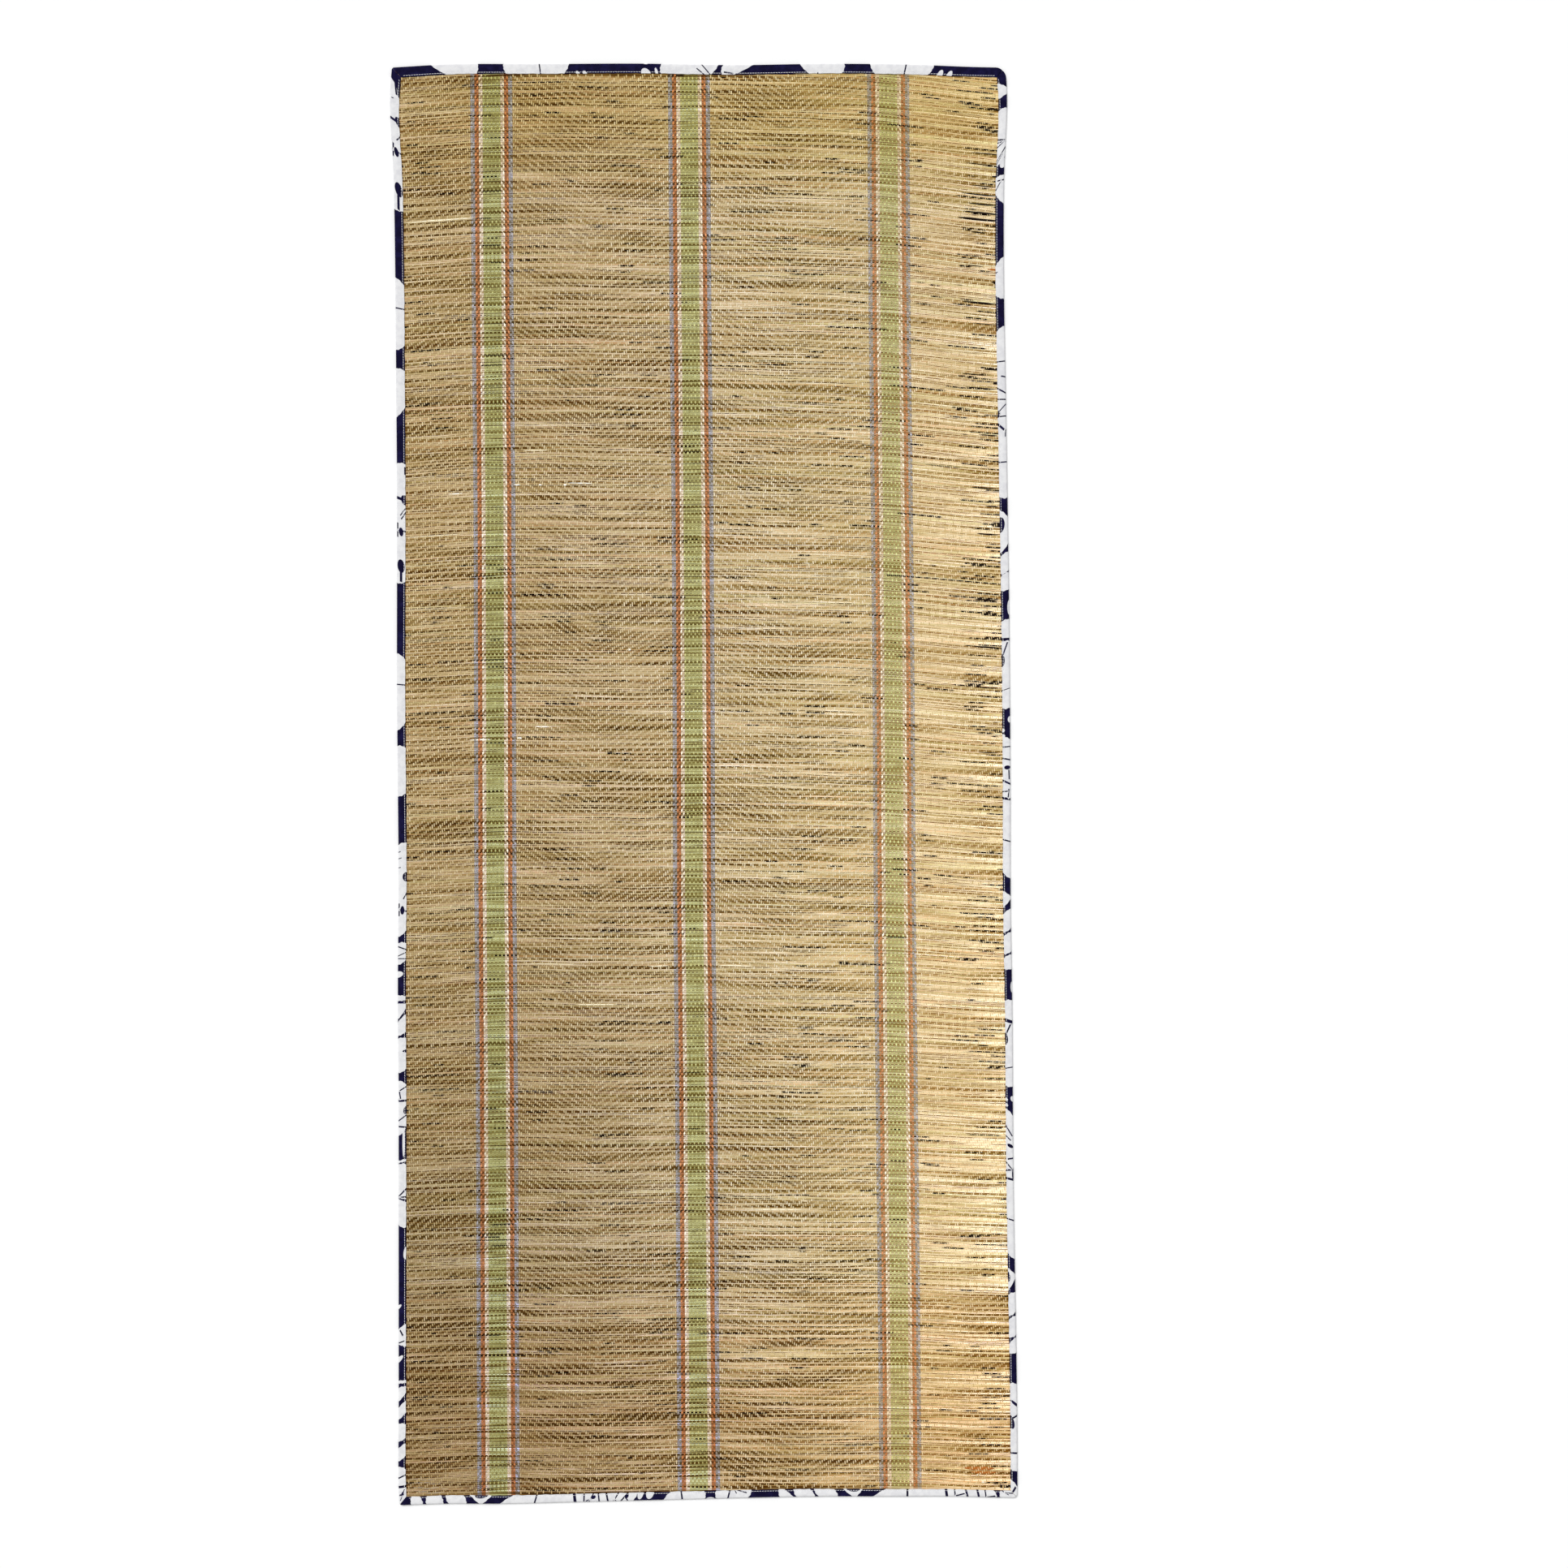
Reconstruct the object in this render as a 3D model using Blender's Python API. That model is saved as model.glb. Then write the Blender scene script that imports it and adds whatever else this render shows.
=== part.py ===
"""A straw beach mat, lying flat: a panel woven of straw on cotton warps, bound with folded cotton tape.

Metres, +Z up. The origin is under the middle of the mat, on the surface that it lies on. +Y runs along its
length and +X across it. The panel is one thick sheet whose rim is pressed thin inside the tape. Each side's
tape is a U-shaped fold around that rim, with its ends cut on the mitre at the corners.
"""

import bmesh
import bpy
import numpy as np

# Corners of the mat about its middle, before they are rounded: x, y and the radius of the tape's outer edge.
CORNERS = {
    "top_left": (-0.3830, 0.9000, 0.0025),
    "top_right": (0.3845, 0.8945, 0.0120),
    "foot_right": (0.3870, -0.8945, 0.0050),
    "foot_left": (-0.3865, -0.8985, 0.0035),
}

# The four sides, clockwise: the corners they join and the width of the tape's face at the start and the end.
SIDES = {
    "top": {"start": "top_left", "end": "top_right", "tape": (0.0126, 0.0122)},
    "right": {"start": "top_right", "end": "foot_right", "tape": (0.0106, 0.0084)},
    "foot": {"start": "foot_right", "end": "foot_left", "tape": (0.0092, 0.0108)},
    "left": {"start": "foot_left", "end": "top_left", "tape": (0.0092, 0.0116)},
}

# How far each side bows out from its straight chord. Each row is a share of the side and a distance in
# millimetres, below zero where the side is drawn in.
BOWS = {
    "top": (
        (0, 0), (0.08, 3.6), (0.25, 4.4), (0.40, 5.0), (0.55, 3.2),
        (0.72, 4.8), (0.86, 3.4), (0.95, 0.8), (1, 0),
    ),
    "right": (
        (0, 0), (0.01, 1.1), (0.08, -3.1), (0.15, -4.2), (0.22, -3.2), (0.29, -2.2), (0.36, -1.3),
        (0.50, -1.4), (0.58, -2.4), (0.65, -1.5), (0.79, -1.7), (0.86, -0.6), (0.93, 0.3), (1, 0),
    ),
    "foot": (
        (0, 0), (0.04, -1.0), (0.09, -2.4), (0.20, -3.5), (0.30, -4.5), (0.41, -4.4), (0.51, -3.4),
        (0.62, -2.4), (0.72, -1.4), (0.83, -0.4), (0.93, -1.2), (1, 0),
    ),
    "left": (
        (0, 0), (0.01, 0.5), (0.07, 0.0), (0.14, -0.6), (0.21, -1.2), (0.29, -1.9), (0.36, -1.6),
        (0.43, -3.2), (0.50, -2.9), (0.57, -2.4), (0.64, -3.1), (0.71, -3.7), (0.78, -3.4), (0.85, -3.0),
        (0.92, -1.7), (0.99, 1.6), (1, 0),
    ),
}

STATION_STEP = 0.048  # spacing of the sections along a side, closer over its two ends
END_REACH = 0.050  # of those ends
CORNER_STATIONS = 4  # sections round half of a rounded corner

GAP = 0.0003  # between pieces
TAPE_LEAF = 0.0006  # one leaf of the folded tape
RIM_THICK = 0.0012  # the woven rim, pressed inside the tape
TAPE_HIGH = 2 * TAPE_LEAF + 2 * GAP + RIM_THICK
PANEL_THICK = 0.0024  # the open weave
RIM_INSET = 0.0016  # from the tape's outer edge to the end of the straws
SHOULDER = 0.0025  # over which the weave thins to its rim
NOSE_STEPS = 4  # facets round the tape's folded edge

STRAW = {"colour": (0.497, 0.366, 0.191), "roughness": 0.62}
TAPE_CLOTH = {"colour": (0.012, 0.010, 0.082), "roughness": 0.85}


def clear_scene():
    for thing in list(bpy.data.objects):
        bpy.data.objects.remove(thing, do_unlink=True)


def make_material(name, finish):
    material = bpy.data.materials.new(name)
    material.use_nodes = True
    shader = material.node_tree.nodes["Principled BSDF"]
    shader.inputs["Base Color"].default_value = (*finish["colour"], 1.0)
    shader.inputs["Roughness"].default_value = finish["roughness"]
    shader.inputs["Metallic"].default_value = 0.0
    return material


def add_object(name, points, faces, material):
    """One closed body from its points and faces, with the faces turned outwards."""
    mesh = bpy.data.meshes.new(name)
    mesh.from_pydata([tuple(point) for point in points], [], faces)
    shape = bmesh.new()
    shape.from_mesh(mesh)
    bmesh.ops.recalc_face_normals(shape, faces=shape.faces)
    shape.to_mesh(mesh)
    shape.free()
    mesh.materials.append(material)
    thing = bpy.data.objects.new(name, mesh)
    bpy.context.scene.collection.objects.link(thing)
    return thing


def bow(side, share):
    """A side's bow in metres at shares of its length: cubic curves through its table, each row with the slope
    between its two neighbours."""
    table = np.array(BOWS[side], float)
    knots, heights = table[:, 0], table[:, 1] / 1000
    slopes = np.gradient(heights, knots)
    row = np.clip(np.searchsorted(knots, share) - 1, 0, len(knots) - 2)
    span = knots[row + 1] - knots[row]
    u = (share - knots[row]) / span
    return (
        heights[row] * (1 + 2 * u) * (1 - u) ** 2
        + heights[row + 1] * u * u * (3 - 2 * u)
        + slopes[row] * span * u * (1 - u) ** 2
        - slopes[row + 1] * span * u * u * (1 - u)
    )


def chord(side):
    """A side's start, length, direction and outward direction, on the straight line between its corners."""
    start = np.array(CORNERS[SIDES[side]["start"]][:2])
    end = np.array(CORNERS[SIDES[side]["end"]][:2])
    length = np.linalg.norm(end - start)
    along = (end - start) / length
    return start, length, along, np.array([-along[1], along[0]])


def corner_point(corner, inset_before, inset_after):
    """The point inside a corner that is inset from both of its sides."""
    before = next(side for side in SIDES if SIDES[side]["end"] == corner)
    after = next(side for side in SIDES if SIDES[side]["start"] == corner)
    place = np.array(CORNERS[corner][:2])
    return place - inset_before * chord(before)[3] - inset_after * chord(after)[3]


def rails(side):
    """The tape's outer edge and its mouth along one side, as two lists of points that pair up. The outer edge
    goes round half of each corner's arc, and both ends of each pair of rails lie on the corners' mitres."""
    start, length, along, outward = chord(side)
    corner_a, corner_b = SIDES[side]["start"], SIDES[side]["end"]
    radius_a, radius_b = CORNERS[corner_a][2], CORNERS[corner_b][2]
    half_arc = 1 - np.sqrt(0.5)
    arc = np.linspace(half_arc, 1, CORNER_STATIONS)
    middle = np.interp(
        np.linspace(0, 1, int(round(length / STATION_STEP)) + 1)[1:-1],
        (0, 0.1, 0.9, 1),
        (radius_a, END_REACH, length - END_REACH, length - radius_b),
    )
    way = np.concatenate([arc * radius_a, middle, length - (arc * radius_b)[::-1]])

    def rounding(distance, radius):
        into = np.clip(radius - distance, 0, radius)
        return radius - np.sqrt(radius**2 - into**2)

    out = bow(side, way / length) - rounding(way, radius_a) - rounding(length - way, radius_b)
    outer = start + way[:, None] * along + out[:, None] * outward
    outer[0] = corner_point(corner_a, half_arc * radius_a, half_arc * radius_a)
    outer[-1] = corner_point(corner_b, half_arc * radius_b, half_arc * radius_b)

    before = next(other for other in SIDES if SIDES[other]["end"] == corner_a)
    after = next(other for other in SIDES if SIDES[other]["start"] == corner_b)
    tape_a, tape_b = SIDES[side]["tape"]
    mouth_a = corner_point(corner_a, SIDES[before]["tape"][1], tape_a)
    mouth_b = corner_point(corner_b, tape_b, SIDES[after]["tape"][0])
    share = (way - way[0]) / (way[-1] - way[0])
    mouth = mouth_a + share[:, None] * (mouth_b - mouth_a) + bow(side, share)[:, None] * outward
    return outer, mouth


def tape_profile(width):
    """The folded tape's section for one width, as pairs of inset and height: along the upper leaf, round the
    nose and back under it, then the same inside the fold."""
    turn = np.linspace(0, np.pi, NOSE_STEPS + 1)

    def fold(leaf):
        radius = TAPE_HIGH / 2 - leaf
        inset = leaf + radius * (1 - np.sin(turn))
        height = TAPE_HIGH / 2 + radius * np.cos(turn)
        return np.column_stack([[width, *inset, width], [height[0], *height, height[-1]]])

    return np.concatenate([fold(0.0), fold(TAPE_LEAF)[::-1]])


def make_tape(side, material):
    """One side's tape: its folded section carried along its rails, open to the panel, with mitred ends."""
    outer, mouth = rails(side)
    along = chord(side)[2]
    clearance = GAP / 2 * np.sqrt(2)
    for rail in (outer, mouth):
        rail[0] += clearance * along
        rail[-1] -= clearance * along
    width = np.linspace(*SIDES[side]["tape"], len(outer))
    rows = []
    for place, lip, wide in zip(outer, mouth, width):
        profile = tape_profile(wide)
        flat = place + (lip - place) * (profile[:, :1] / wide)
        rows.append(np.column_stack([flat, profile[:, 1]]))
    points = np.concatenate(rows)
    size = len(rows[0])
    faces = []
    for row in range(len(rows) - 1):
        for step in range(size):
            following = (step + 1) % size
            here, ahead = row * size, (row + 1) * size
            faces.append((here + step, here + following, ahead + following, ahead + step))
    for first in (0, (len(rows) - 1) * size):
        for step in range(size // 2 - 1):
            facing = size - 1 - step
            faces.append((first + step, first + step + 1, first + facing - 1, first + facing))
    return add_object(f"binding_{side}", points, faces, material)


def ring(inset, past_mouth=False):
    """A closed loop round the mat, an inset in from the tape's outer edge, or that far past its mouth."""
    loop = []
    for side in SIDES:
        outer, mouth = rails(side)
        width = np.linspace(*SIDES[side]["tape"], len(outer))
        depth = width + inset if past_mouth else inset
        loop.append((outer + (mouth - outer) * (depth / width)[:, None])[:-1])
    return np.concatenate(loop)


def make_panel(material):
    """The woven panel: full thickness in the open, thinned over a shoulder to the pressed rim in the tape."""
    rim_low = (TAPE_HIGH - RIM_THICK) / 2
    rim_top = rim_low + RIM_THICK
    rim_end = ring(RIM_INSET)
    rim_start = ring(GAP, past_mouth=True)
    field = ring(GAP + SHOULDER, past_mouth=True)
    levels = [
        (field, 0.0),
        (rim_start, rim_low),
        (rim_end, rim_low),
        (rim_end, rim_top),
        (rim_start, rim_top),
        (field, PANEL_THICK),
    ]
    points = np.concatenate([np.insert(loop, 2, high, axis=1) for loop, high in levels])
    size = len(field)
    faces = [tuple(range(size)), tuple(range(5 * size, 6 * size))]
    for level in range(len(levels) - 1):
        for step in range(size):
            following = (step + 1) % size
            here, above = level * size, (level + 1) * size
            faces.append((here + step, here + following, above + following, above + step))
    return add_object("straw_panel", points, faces, material)


def centre(things):
    """Moves every piece in its mesh so that the mat's bounding box is centred on X and Y."""
    corners = np.array([vertex.co[:2] for thing in things for vertex in thing.data.vertices])
    middle = (corners.min(0) + corners.max(0)) / 2
    for thing in things:
        for vertex in thing.data.vertices:
            vertex.co.x -= middle[0]
            vertex.co.y -= middle[1]


clear_scene()
straw = make_material("straw", STRAW)
tape_cloth = make_material("tape_cloth", TAPE_CLOTH)
centre([make_panel(straw)] + [make_tape(side, tape_cloth) for side in SIDES])
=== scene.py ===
"""A straw beach mat laid out flat and seen from straight above: straws woven on cotton warps, with three bands of
coloured warps, bound round its edge with a folded printed cotton tape.

Metres, +Z up, +Y along the mat and +X across it, with the origin under its middle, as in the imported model.
"""

import bpy
import numpy as np
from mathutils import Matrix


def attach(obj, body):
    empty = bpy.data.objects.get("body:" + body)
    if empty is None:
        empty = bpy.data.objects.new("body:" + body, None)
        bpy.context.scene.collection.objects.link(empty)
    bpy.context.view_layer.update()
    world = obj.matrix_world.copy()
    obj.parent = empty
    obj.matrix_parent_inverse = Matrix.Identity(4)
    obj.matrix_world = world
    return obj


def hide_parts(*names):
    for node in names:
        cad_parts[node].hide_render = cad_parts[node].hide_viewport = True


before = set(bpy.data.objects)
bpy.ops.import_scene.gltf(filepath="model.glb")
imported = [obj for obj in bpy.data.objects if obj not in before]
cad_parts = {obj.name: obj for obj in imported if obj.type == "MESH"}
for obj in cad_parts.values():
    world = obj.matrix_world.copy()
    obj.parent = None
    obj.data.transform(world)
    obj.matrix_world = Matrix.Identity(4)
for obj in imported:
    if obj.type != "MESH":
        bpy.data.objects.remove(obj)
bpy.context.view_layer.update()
chance = np.random.default_rng(20)


# STRAWS
# The weft of the mat: about 900 thin dry straws, one beside another, each running right across it and cut off
# inside the tape. They sag towards the right, and the open weave thins to a pressed rim in the tape.

# Corners of the mat about its middle, before they are rounded: x, y and the radius of the tape's outer edge.
CORNERS = {
    "top_left": (-0.3830, 0.9000, 0.0025),
    "top_right": (0.3845, 0.8945, 0.0120),
    "foot_right": (0.3870, -0.8945, 0.0050),
    "foot_left": (-0.3865, -0.8985, 0.0035),
}

# The four sides, clockwise: the corners they join and the width of the tape's face at the start and the end.
SIDES = {
    "top": {"start": "top_left", "end": "top_right", "tape": (0.0126, 0.0122)},
    "right": {"start": "top_right", "end": "foot_right", "tape": (0.0106, 0.0084)},
    "foot": {"start": "foot_right", "end": "foot_left", "tape": (0.0092, 0.0108)},
    "left": {"start": "foot_left", "end": "top_left", "tape": (0.0092, 0.0116)},
}

# How far each side bows out from its straight chord: shares of the side, and millimetres.
BOWS = {
    "top": (
        (0, 0), (0.08, 3.6), (0.25, 4.4), (0.40, 5.0), (0.55, 3.2),
        (0.72, 4.8), (0.86, 3.4), (0.95, 0.8), (1, 0),
    ),
    "right": (
        (0, 0), (0.01, 1.1), (0.08, -3.1), (0.15, -4.2), (0.22, -3.2), (0.29, -2.2), (0.36, -1.3),
        (0.50, -1.4), (0.58, -2.4), (0.65, -1.5), (0.79, -1.7), (0.86, -0.6), (0.93, 0.3), (1, 0),
    ),
    "foot": (
        (0, 0), (0.04, -1.0), (0.09, -2.4), (0.20, -3.5), (0.30, -4.5), (0.41, -4.4), (0.51, -3.4),
        (0.62, -2.4), (0.72, -1.4), (0.83, -0.4), (0.93, -1.2), (1, 0),
    ),
    "left": (
        (0, 0), (0.01, 0.5), (0.07, 0.0), (0.14, -0.6), (0.21, -1.2), (0.29, -1.9), (0.36, -1.6),
        (0.43, -3.2), (0.50, -2.9), (0.57, -2.4), (0.64, -3.1), (0.71, -3.7), (0.78, -3.4), (0.85, -3.0),
        (0.92, -1.7), (0.99, 1.6), (1, 0),
    ),
}
RIM_INSET = 0.0016  # from the tape's outer edge to the cut ends of the straws
SHOULDER = 0.0025  # over which the weave thins towards its rim
GAP = 0.0003  # between the tape's mouth and that shoulder

STRAW_PITCH = 0.001965
STRAWS_FROM, STRAWS_TO = -0.9075, 0.9260  # heights of the first and last straw, on the line where they don't sag
WEAVE_THICK = 0.0024
RIM_THICK = 0.0012
RIM_MIDDLE = 0.0015  # height of the rim's middle, between the two leaves of the tape

# How far the straws sag below a straight line at places across the mat, in millimetres: near its top, at its
# middle and near its foot.
SAG_AT = (-375, -291, -238, -179, -128, -77, -41, -16, 18, 65, 115, 166, 211, 263, 303, 339, 369)
SAG = (
    (-4.6, 1.4, 2.2, 3.0, 1.4, 0.6, -0.9, 0, -0.3, -1.9, -3.4, -5.2, -7.2, -11.5, -16.6, -21, -24.5),
    (-2.4, 1.4, 2.5, 1.05, 0.45, -0.9, -0.24, 0, -0.3, -2.0, -3.6, -5.1, -6.3, -9.4, -13.4, -16, -17.7),
    (-3.4, -0.8, 0, -2.2, -1.8, -1.3, -0.2, 0, -0.2, -1.8, -2.0, -2.6, -2.0, -3.0, -5.0, -6.4, -6.8),
)
SAG_REACH = 0.73  # height of the top and foot rows of that table


def bow(side, share):
    """A side's bow in metres: cubic curves through its table, each row with the slope between its neighbours."""
    table = np.array(BOWS[side], float)
    knots, heights = table[:, 0], table[:, 1] / 1000
    slopes = np.gradient(heights, knots)
    row = np.clip(np.searchsorted(knots, share) - 1, 0, len(knots) - 2)
    span = knots[row + 1] - knots[row]
    u = (share - knots[row]) / span
    return (
        heights[row] * (1 + 2 * u) * (1 - u) ** 2
        + heights[row + 1] * u * u * (3 - 2 * u)
        + slopes[row] * span * u * (1 - u) ** 2
        - slopes[row + 1] * span * u * u * (1 - u)
    )


def chord(side):
    """A side's start, length, direction and outward direction, on the straight line between its corners."""
    start = np.array(CORNERS[SIDES[side]["start"]][:2])
    end = np.array(CORNERS[SIDES[side]["end"]][:2])
    length = np.linalg.norm(end - start)
    along = (end - start) / length
    return start, length, along, np.array([-along[1], along[0]])


def corner_point(corner, inset_before, inset_after):
    """The point inside a corner that is inset from both of its sides."""
    before = next(side for side in SIDES if SIDES[side]["end"] == corner)
    after = next(side for side in SIDES if SIDES[side]["start"] == corner)
    place = np.array(CORNERS[corner][:2])
    return place - inset_before * chord(before)[3] - inset_after * chord(after)[3]


def rails(side, step):
    """The tape's outer edge and its mouth along one side, as two arrays of points that pair up. The outer edge
    is the side's chord pushed out by its bow and rounded by a quarter circle's half at each corner, and both
    ends of each pair lie on the corners' mitres."""
    start, length, along, outward = chord(side)
    corner_a, corner_b = SIDES[side]["start"], SIDES[side]["end"]
    radius_a, radius_b = CORNERS[corner_a][2], CORNERS[corner_b][2]
    half_arc = 1 - np.sqrt(0.5)
    arc = np.linspace(half_arc, 1, 5)
    middle = np.linspace(radius_a, length - radius_b, int(round(length / step)) + 1)[1:-1]
    way = np.concatenate([arc * radius_a, middle, length - (arc * radius_b)[::-1]])

    def rounding(distance, radius):
        into = np.clip(radius - distance, 0, radius)
        return radius - np.sqrt(radius**2 - into**2)

    out = bow(side, way / length) - rounding(way, radius_a) - rounding(length - way, radius_b)
    outer = start + way[:, None] * along + out[:, None] * outward
    outer[0] = corner_point(corner_a, half_arc * radius_a, half_arc * radius_a)
    outer[-1] = corner_point(corner_b, half_arc * radius_b, half_arc * radius_b)
    before = next(other for other in SIDES if SIDES[other]["end"] == corner_a)
    after = next(other for other in SIDES if SIDES[other]["start"] == corner_b)
    tape_a, tape_b = SIDES[side]["tape"]
    mouth_a = corner_point(corner_a, SIDES[before]["tape"][1], tape_a)
    mouth_b = corner_point(corner_b, tape_b, SIDES[after]["tape"][0])
    share = (way - way[0]) / (way[-1] - way[0])
    mouth = mouth_a + share[:, None] * (mouth_b - mouth_a) + bow(side, share)[:, None] * outward
    return outer, mouth


edges = {side: rails(side, 0.012)[0] for side in SIDES}
every_edge = np.concatenate(list(edges.values()))
MIDDLE = (every_edge.min(0) + every_edge.max(0)) / 2  # of the mat's box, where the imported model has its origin


def inside_edge(x, y):
    """How far points lie inside the mat's outer edge, and inside the mouth of its tape: the least distance
    over the four sides, each taken straight across its own side."""
    depths = []
    mouths = []
    for side, sign in (("top", 1), ("right", 1), ("foot", -1), ("left", -1)):
        across = side in ("top", "foot")
        run, rise = (x, y) if across else (y, x)
        line = edges[side][:, [0, 1]] if across else edges[side][:, [1, 0]]
        line = line[np.argsort(line[:, 0])]
        depth = sign * (np.interp(run, line[:, 0], line[:, 1]) - rise)
        start, end = SIDES[side]["tape"]
        ends = (end, start) if side in ("foot", "right") else (start, end)
        tape = np.interp(run, line[[0, -1], 0], ends)
        depths.append(depth)
        mouths.append(depth - tape)
    return np.min(depths, 0), np.min(mouths, 0)


def openness(x, y):
    """1 in the open weave and 0 in the rim pressed inside the tape, with a straight slope over the shoulder."""
    return np.clip((inside_edge(x, y)[1] - GAP) / SHOULDER, 0, 1)


sag_places = np.linspace(-0.40, 0.40, 401)
smoothing = np.hanning(25) / np.hanning(25).sum()
sag_lines = [
    np.convolve(
        np.pad(np.interp(sag_places, np.array(SAG_AT) / 1000, np.array(line) / 1000), 12, "reflect", reflect_type="odd"),
        smoothing,
        "valid",
    )
    for line in SAG
]


def sag(x, y):
    """How far a straw at height y has sagged at x: the table's three lines, blended straight between heights."""
    upper = np.clip(y / SAG_REACH, 0, 1)
    lower = np.clip(-y / SAG_REACH, 0, 1)
    top, middle, foot = (np.interp(x, sag_places, line) for line in sag_lines)
    return upper * top + lower * foot + (1 - upper - lower) * middle


straw_count = int((STRAWS_TO - STRAWS_FROM) / STRAW_PITCH)
straw_widths = np.clip(chance.normal(1, 0.13, straw_count), 0.70, 1.40)
straw_bounds = STRAWS_FROM + (STRAWS_TO - STRAWS_FROM) * np.insert(np.cumsum(straw_widths), 0, 0) / straw_widths.sum()
WOBBLE_KNOTS = 21
wobbles = chance.normal(0, 0.00010, (straw_count + 1, WOBBLE_KNOTS))
drifts = chance.normal(0, 1, (straw_count + 15, WOBBLE_KNOTS))
hump = np.hanning(17)[1:-1] / np.sqrt((np.hanning(17) ** 2).sum())
wobbles += 0.00030 * sum(share * drifts[row : row + straw_count + 1] for row, share in enumerate(hump))


def bound_between(number, x):
    """The line between two neighbouring straws: its height plus the sag there, plus a wobble that eases from one
    random knot to the next, partly its own and partly shared with the straws round it."""
    reach = (x + 0.40) / 0.80 * (WOBBLE_KNOTS - 1)
    knot = np.clip(reach.astype(int), 0, WOBBLE_KNOTS - 2)
    part = np.clip(reach - knot, 0, 1)
    ease = part * part * (3 - 2 * part)
    wobble = wobbles[number, knot] * (1 - ease) + wobbles[number, knot + 1] * ease
    height = straw_bounds[number]
    return height + sag(x, height) + wobble


def make_piece(name, points, face_groups, material):
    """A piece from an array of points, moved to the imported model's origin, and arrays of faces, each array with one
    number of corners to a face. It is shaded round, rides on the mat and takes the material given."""
    corners = np.concatenate([group.ravel() for group in face_groups])
    sizes = np.concatenate([np.full(len(group), group.shape[1]) for group in face_groups])
    mesh = bpy.data.meshes.new(name)
    mesh.vertices.add(len(points))
    mesh.vertices.foreach_set("co", (points - [*MIDDLE, 0]).astype(np.float32).ravel())
    mesh.loops.add(len(corners))
    mesh.loops.foreach_set("vertex_index", corners.astype(np.int32))
    mesh.polygons.add(len(sizes))
    mesh.polygons.foreach_set("loop_start", (np.cumsum(sizes) - sizes).astype(np.int32))
    mesh.polygons.foreach_set("use_smooth", np.ones(len(sizes), bool))
    mesh.update(calc_edges=True)
    mesh.materials.append(material)
    piece = bpy.data.objects.new(name, mesh)
    bpy.context.scene.collection.objects.link(piece)
    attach(piece, "root")
    return piece


def give(piece, name, kind, domain, values):
    """Sets a named attribute of a piece's mesh from an array with one row for each point or corner."""
    field = {"FLOAT": "value", "FLOAT_VECTOR": "vector", "FLOAT_COLOR": "color"}[kind]
    layer = piece.data.attributes.new(name, kind, domain)
    layer.data.foreach_set(field, np.ascontiguousarray(values, np.float32).ravel())


def lay_out(piece, places):
    """Gives a piece its map for baking, with one place in the unit square for each corner."""
    layer = piece.data.uv_layers.new(name="OFBake")
    layer.uv.foreach_set("vector", np.ascontiguousarray(places, np.float32).ravel())


def add_node(tree, kind, *wires, **settings):
    """A shader node with its settings. Each wire is an input's name or number with a socket or a plain value."""
    node = tree.nodes.new(f"ShaderNode{kind}")
    for name, value in settings.items():
        setattr(node, name, value)
    for key, value in wires:
        if isinstance(value, bpy.types.NodeSocket):
            tree.links.new(value, node.inputs[key])
        else:
            node.inputs[key].default_value = value
    return node


def maths(tree, operation, *values):
    """The output of one Math node on sockets or plain numbers."""
    return add_node(tree, "Math", *enumerate(values), operation=operation).outputs[0]


def ramp(tree, value, low, high, start=0.0, end=1.0):
    """A smooth step of value from start at low to end at high."""
    wires = ((0, value), (1, low), (2, high), (3, start), (4, end))
    return add_node(tree, "MapRange", *wires, interpolation_type="SMOOTHSTEP").outputs[0]


def mix_colours(tree, share, first, second, blend="MIX"):
    """The output of one colour Mix node."""
    wires = ((0, share), (6, first), (7, second))
    return add_node(tree, "Mix", *wires, data_type="RGBA", blend_type=blend).outputs[2]


def streaks(tree, place, stretch, offset, detail=2.0):
    """Smooth noise over a place that is stretched by its own number of waves a unit on each axis."""
    scaled = add_node(tree, "VectorMath", (0, place), (1, stretch), (2, offset), operation="MULTIPLY_ADD").outputs[0]
    wires = (("Vector", scaled), ("Scale", 1.0), ("Detail", detail))
    return add_node(tree, "TexNoise", *wires, noise_dimensions="3D").outputs[0]


def linear(red, green, blue):
    """A colour of 0 to 255 steps a channel, as light: the curve of ordinary screens undone."""
    steps = np.array([red, green, blue]) / 255
    light = np.where(steps <= 0.04045, steps / 12.92, ((steps + 0.055) / 1.055) ** 2.4)
    return (*light.tolist(), 1.0)


def colour_line(tree, value, stops, low, high):
    """A row of colours along a value, straight between its stops, which are places with 0 to 255 colours."""
    share = add_node(tree, "MapRange", (0, value), (1, low), (2, high)).outputs[0]
    node = add_node(tree, "ValToRGB", (0, share))
    for number, (place, colour) in enumerate(stops):
        at = (place - low) / (high - low)
        stop = node.color_ramp.elements[number] if number < 2 else node.color_ramp.elements.new(at)
        stop.position = at
        stop.color = linear(*colour)
    return node.outputs[0]


# Dry straw across the mat, a third of the way down from its middle to its top.
STRAW_TONES = (
    (-0.380, (174, 146, 97)),
    (-0.170, (176, 149, 104)),
    (-0.065, (180, 153, 106)),
    (0.080, (192, 166, 116)),
    (0.190, (206, 180, 128)),
    (0.262, (222, 198, 150)),
    (0.340, (228, 204, 155)),
    (0.380, (238, 214, 165)),
)
TOP_GOLD = np.array([1.06, 1.00, 0.75])
FOOT_GOLD = np.array([1.12, 1.00, 0.85])


def eased(value):
    """0 up to 0, 1 from 1 on, and a smooth step between."""
    value = np.clip(value, 0, 1)
    return value * value * (3 - 2 * value)


# A change of tone over the mat, with no cause given: darker on the left towards the foot, on the right near the top
# and at both ends, and golden at the ends.
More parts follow.
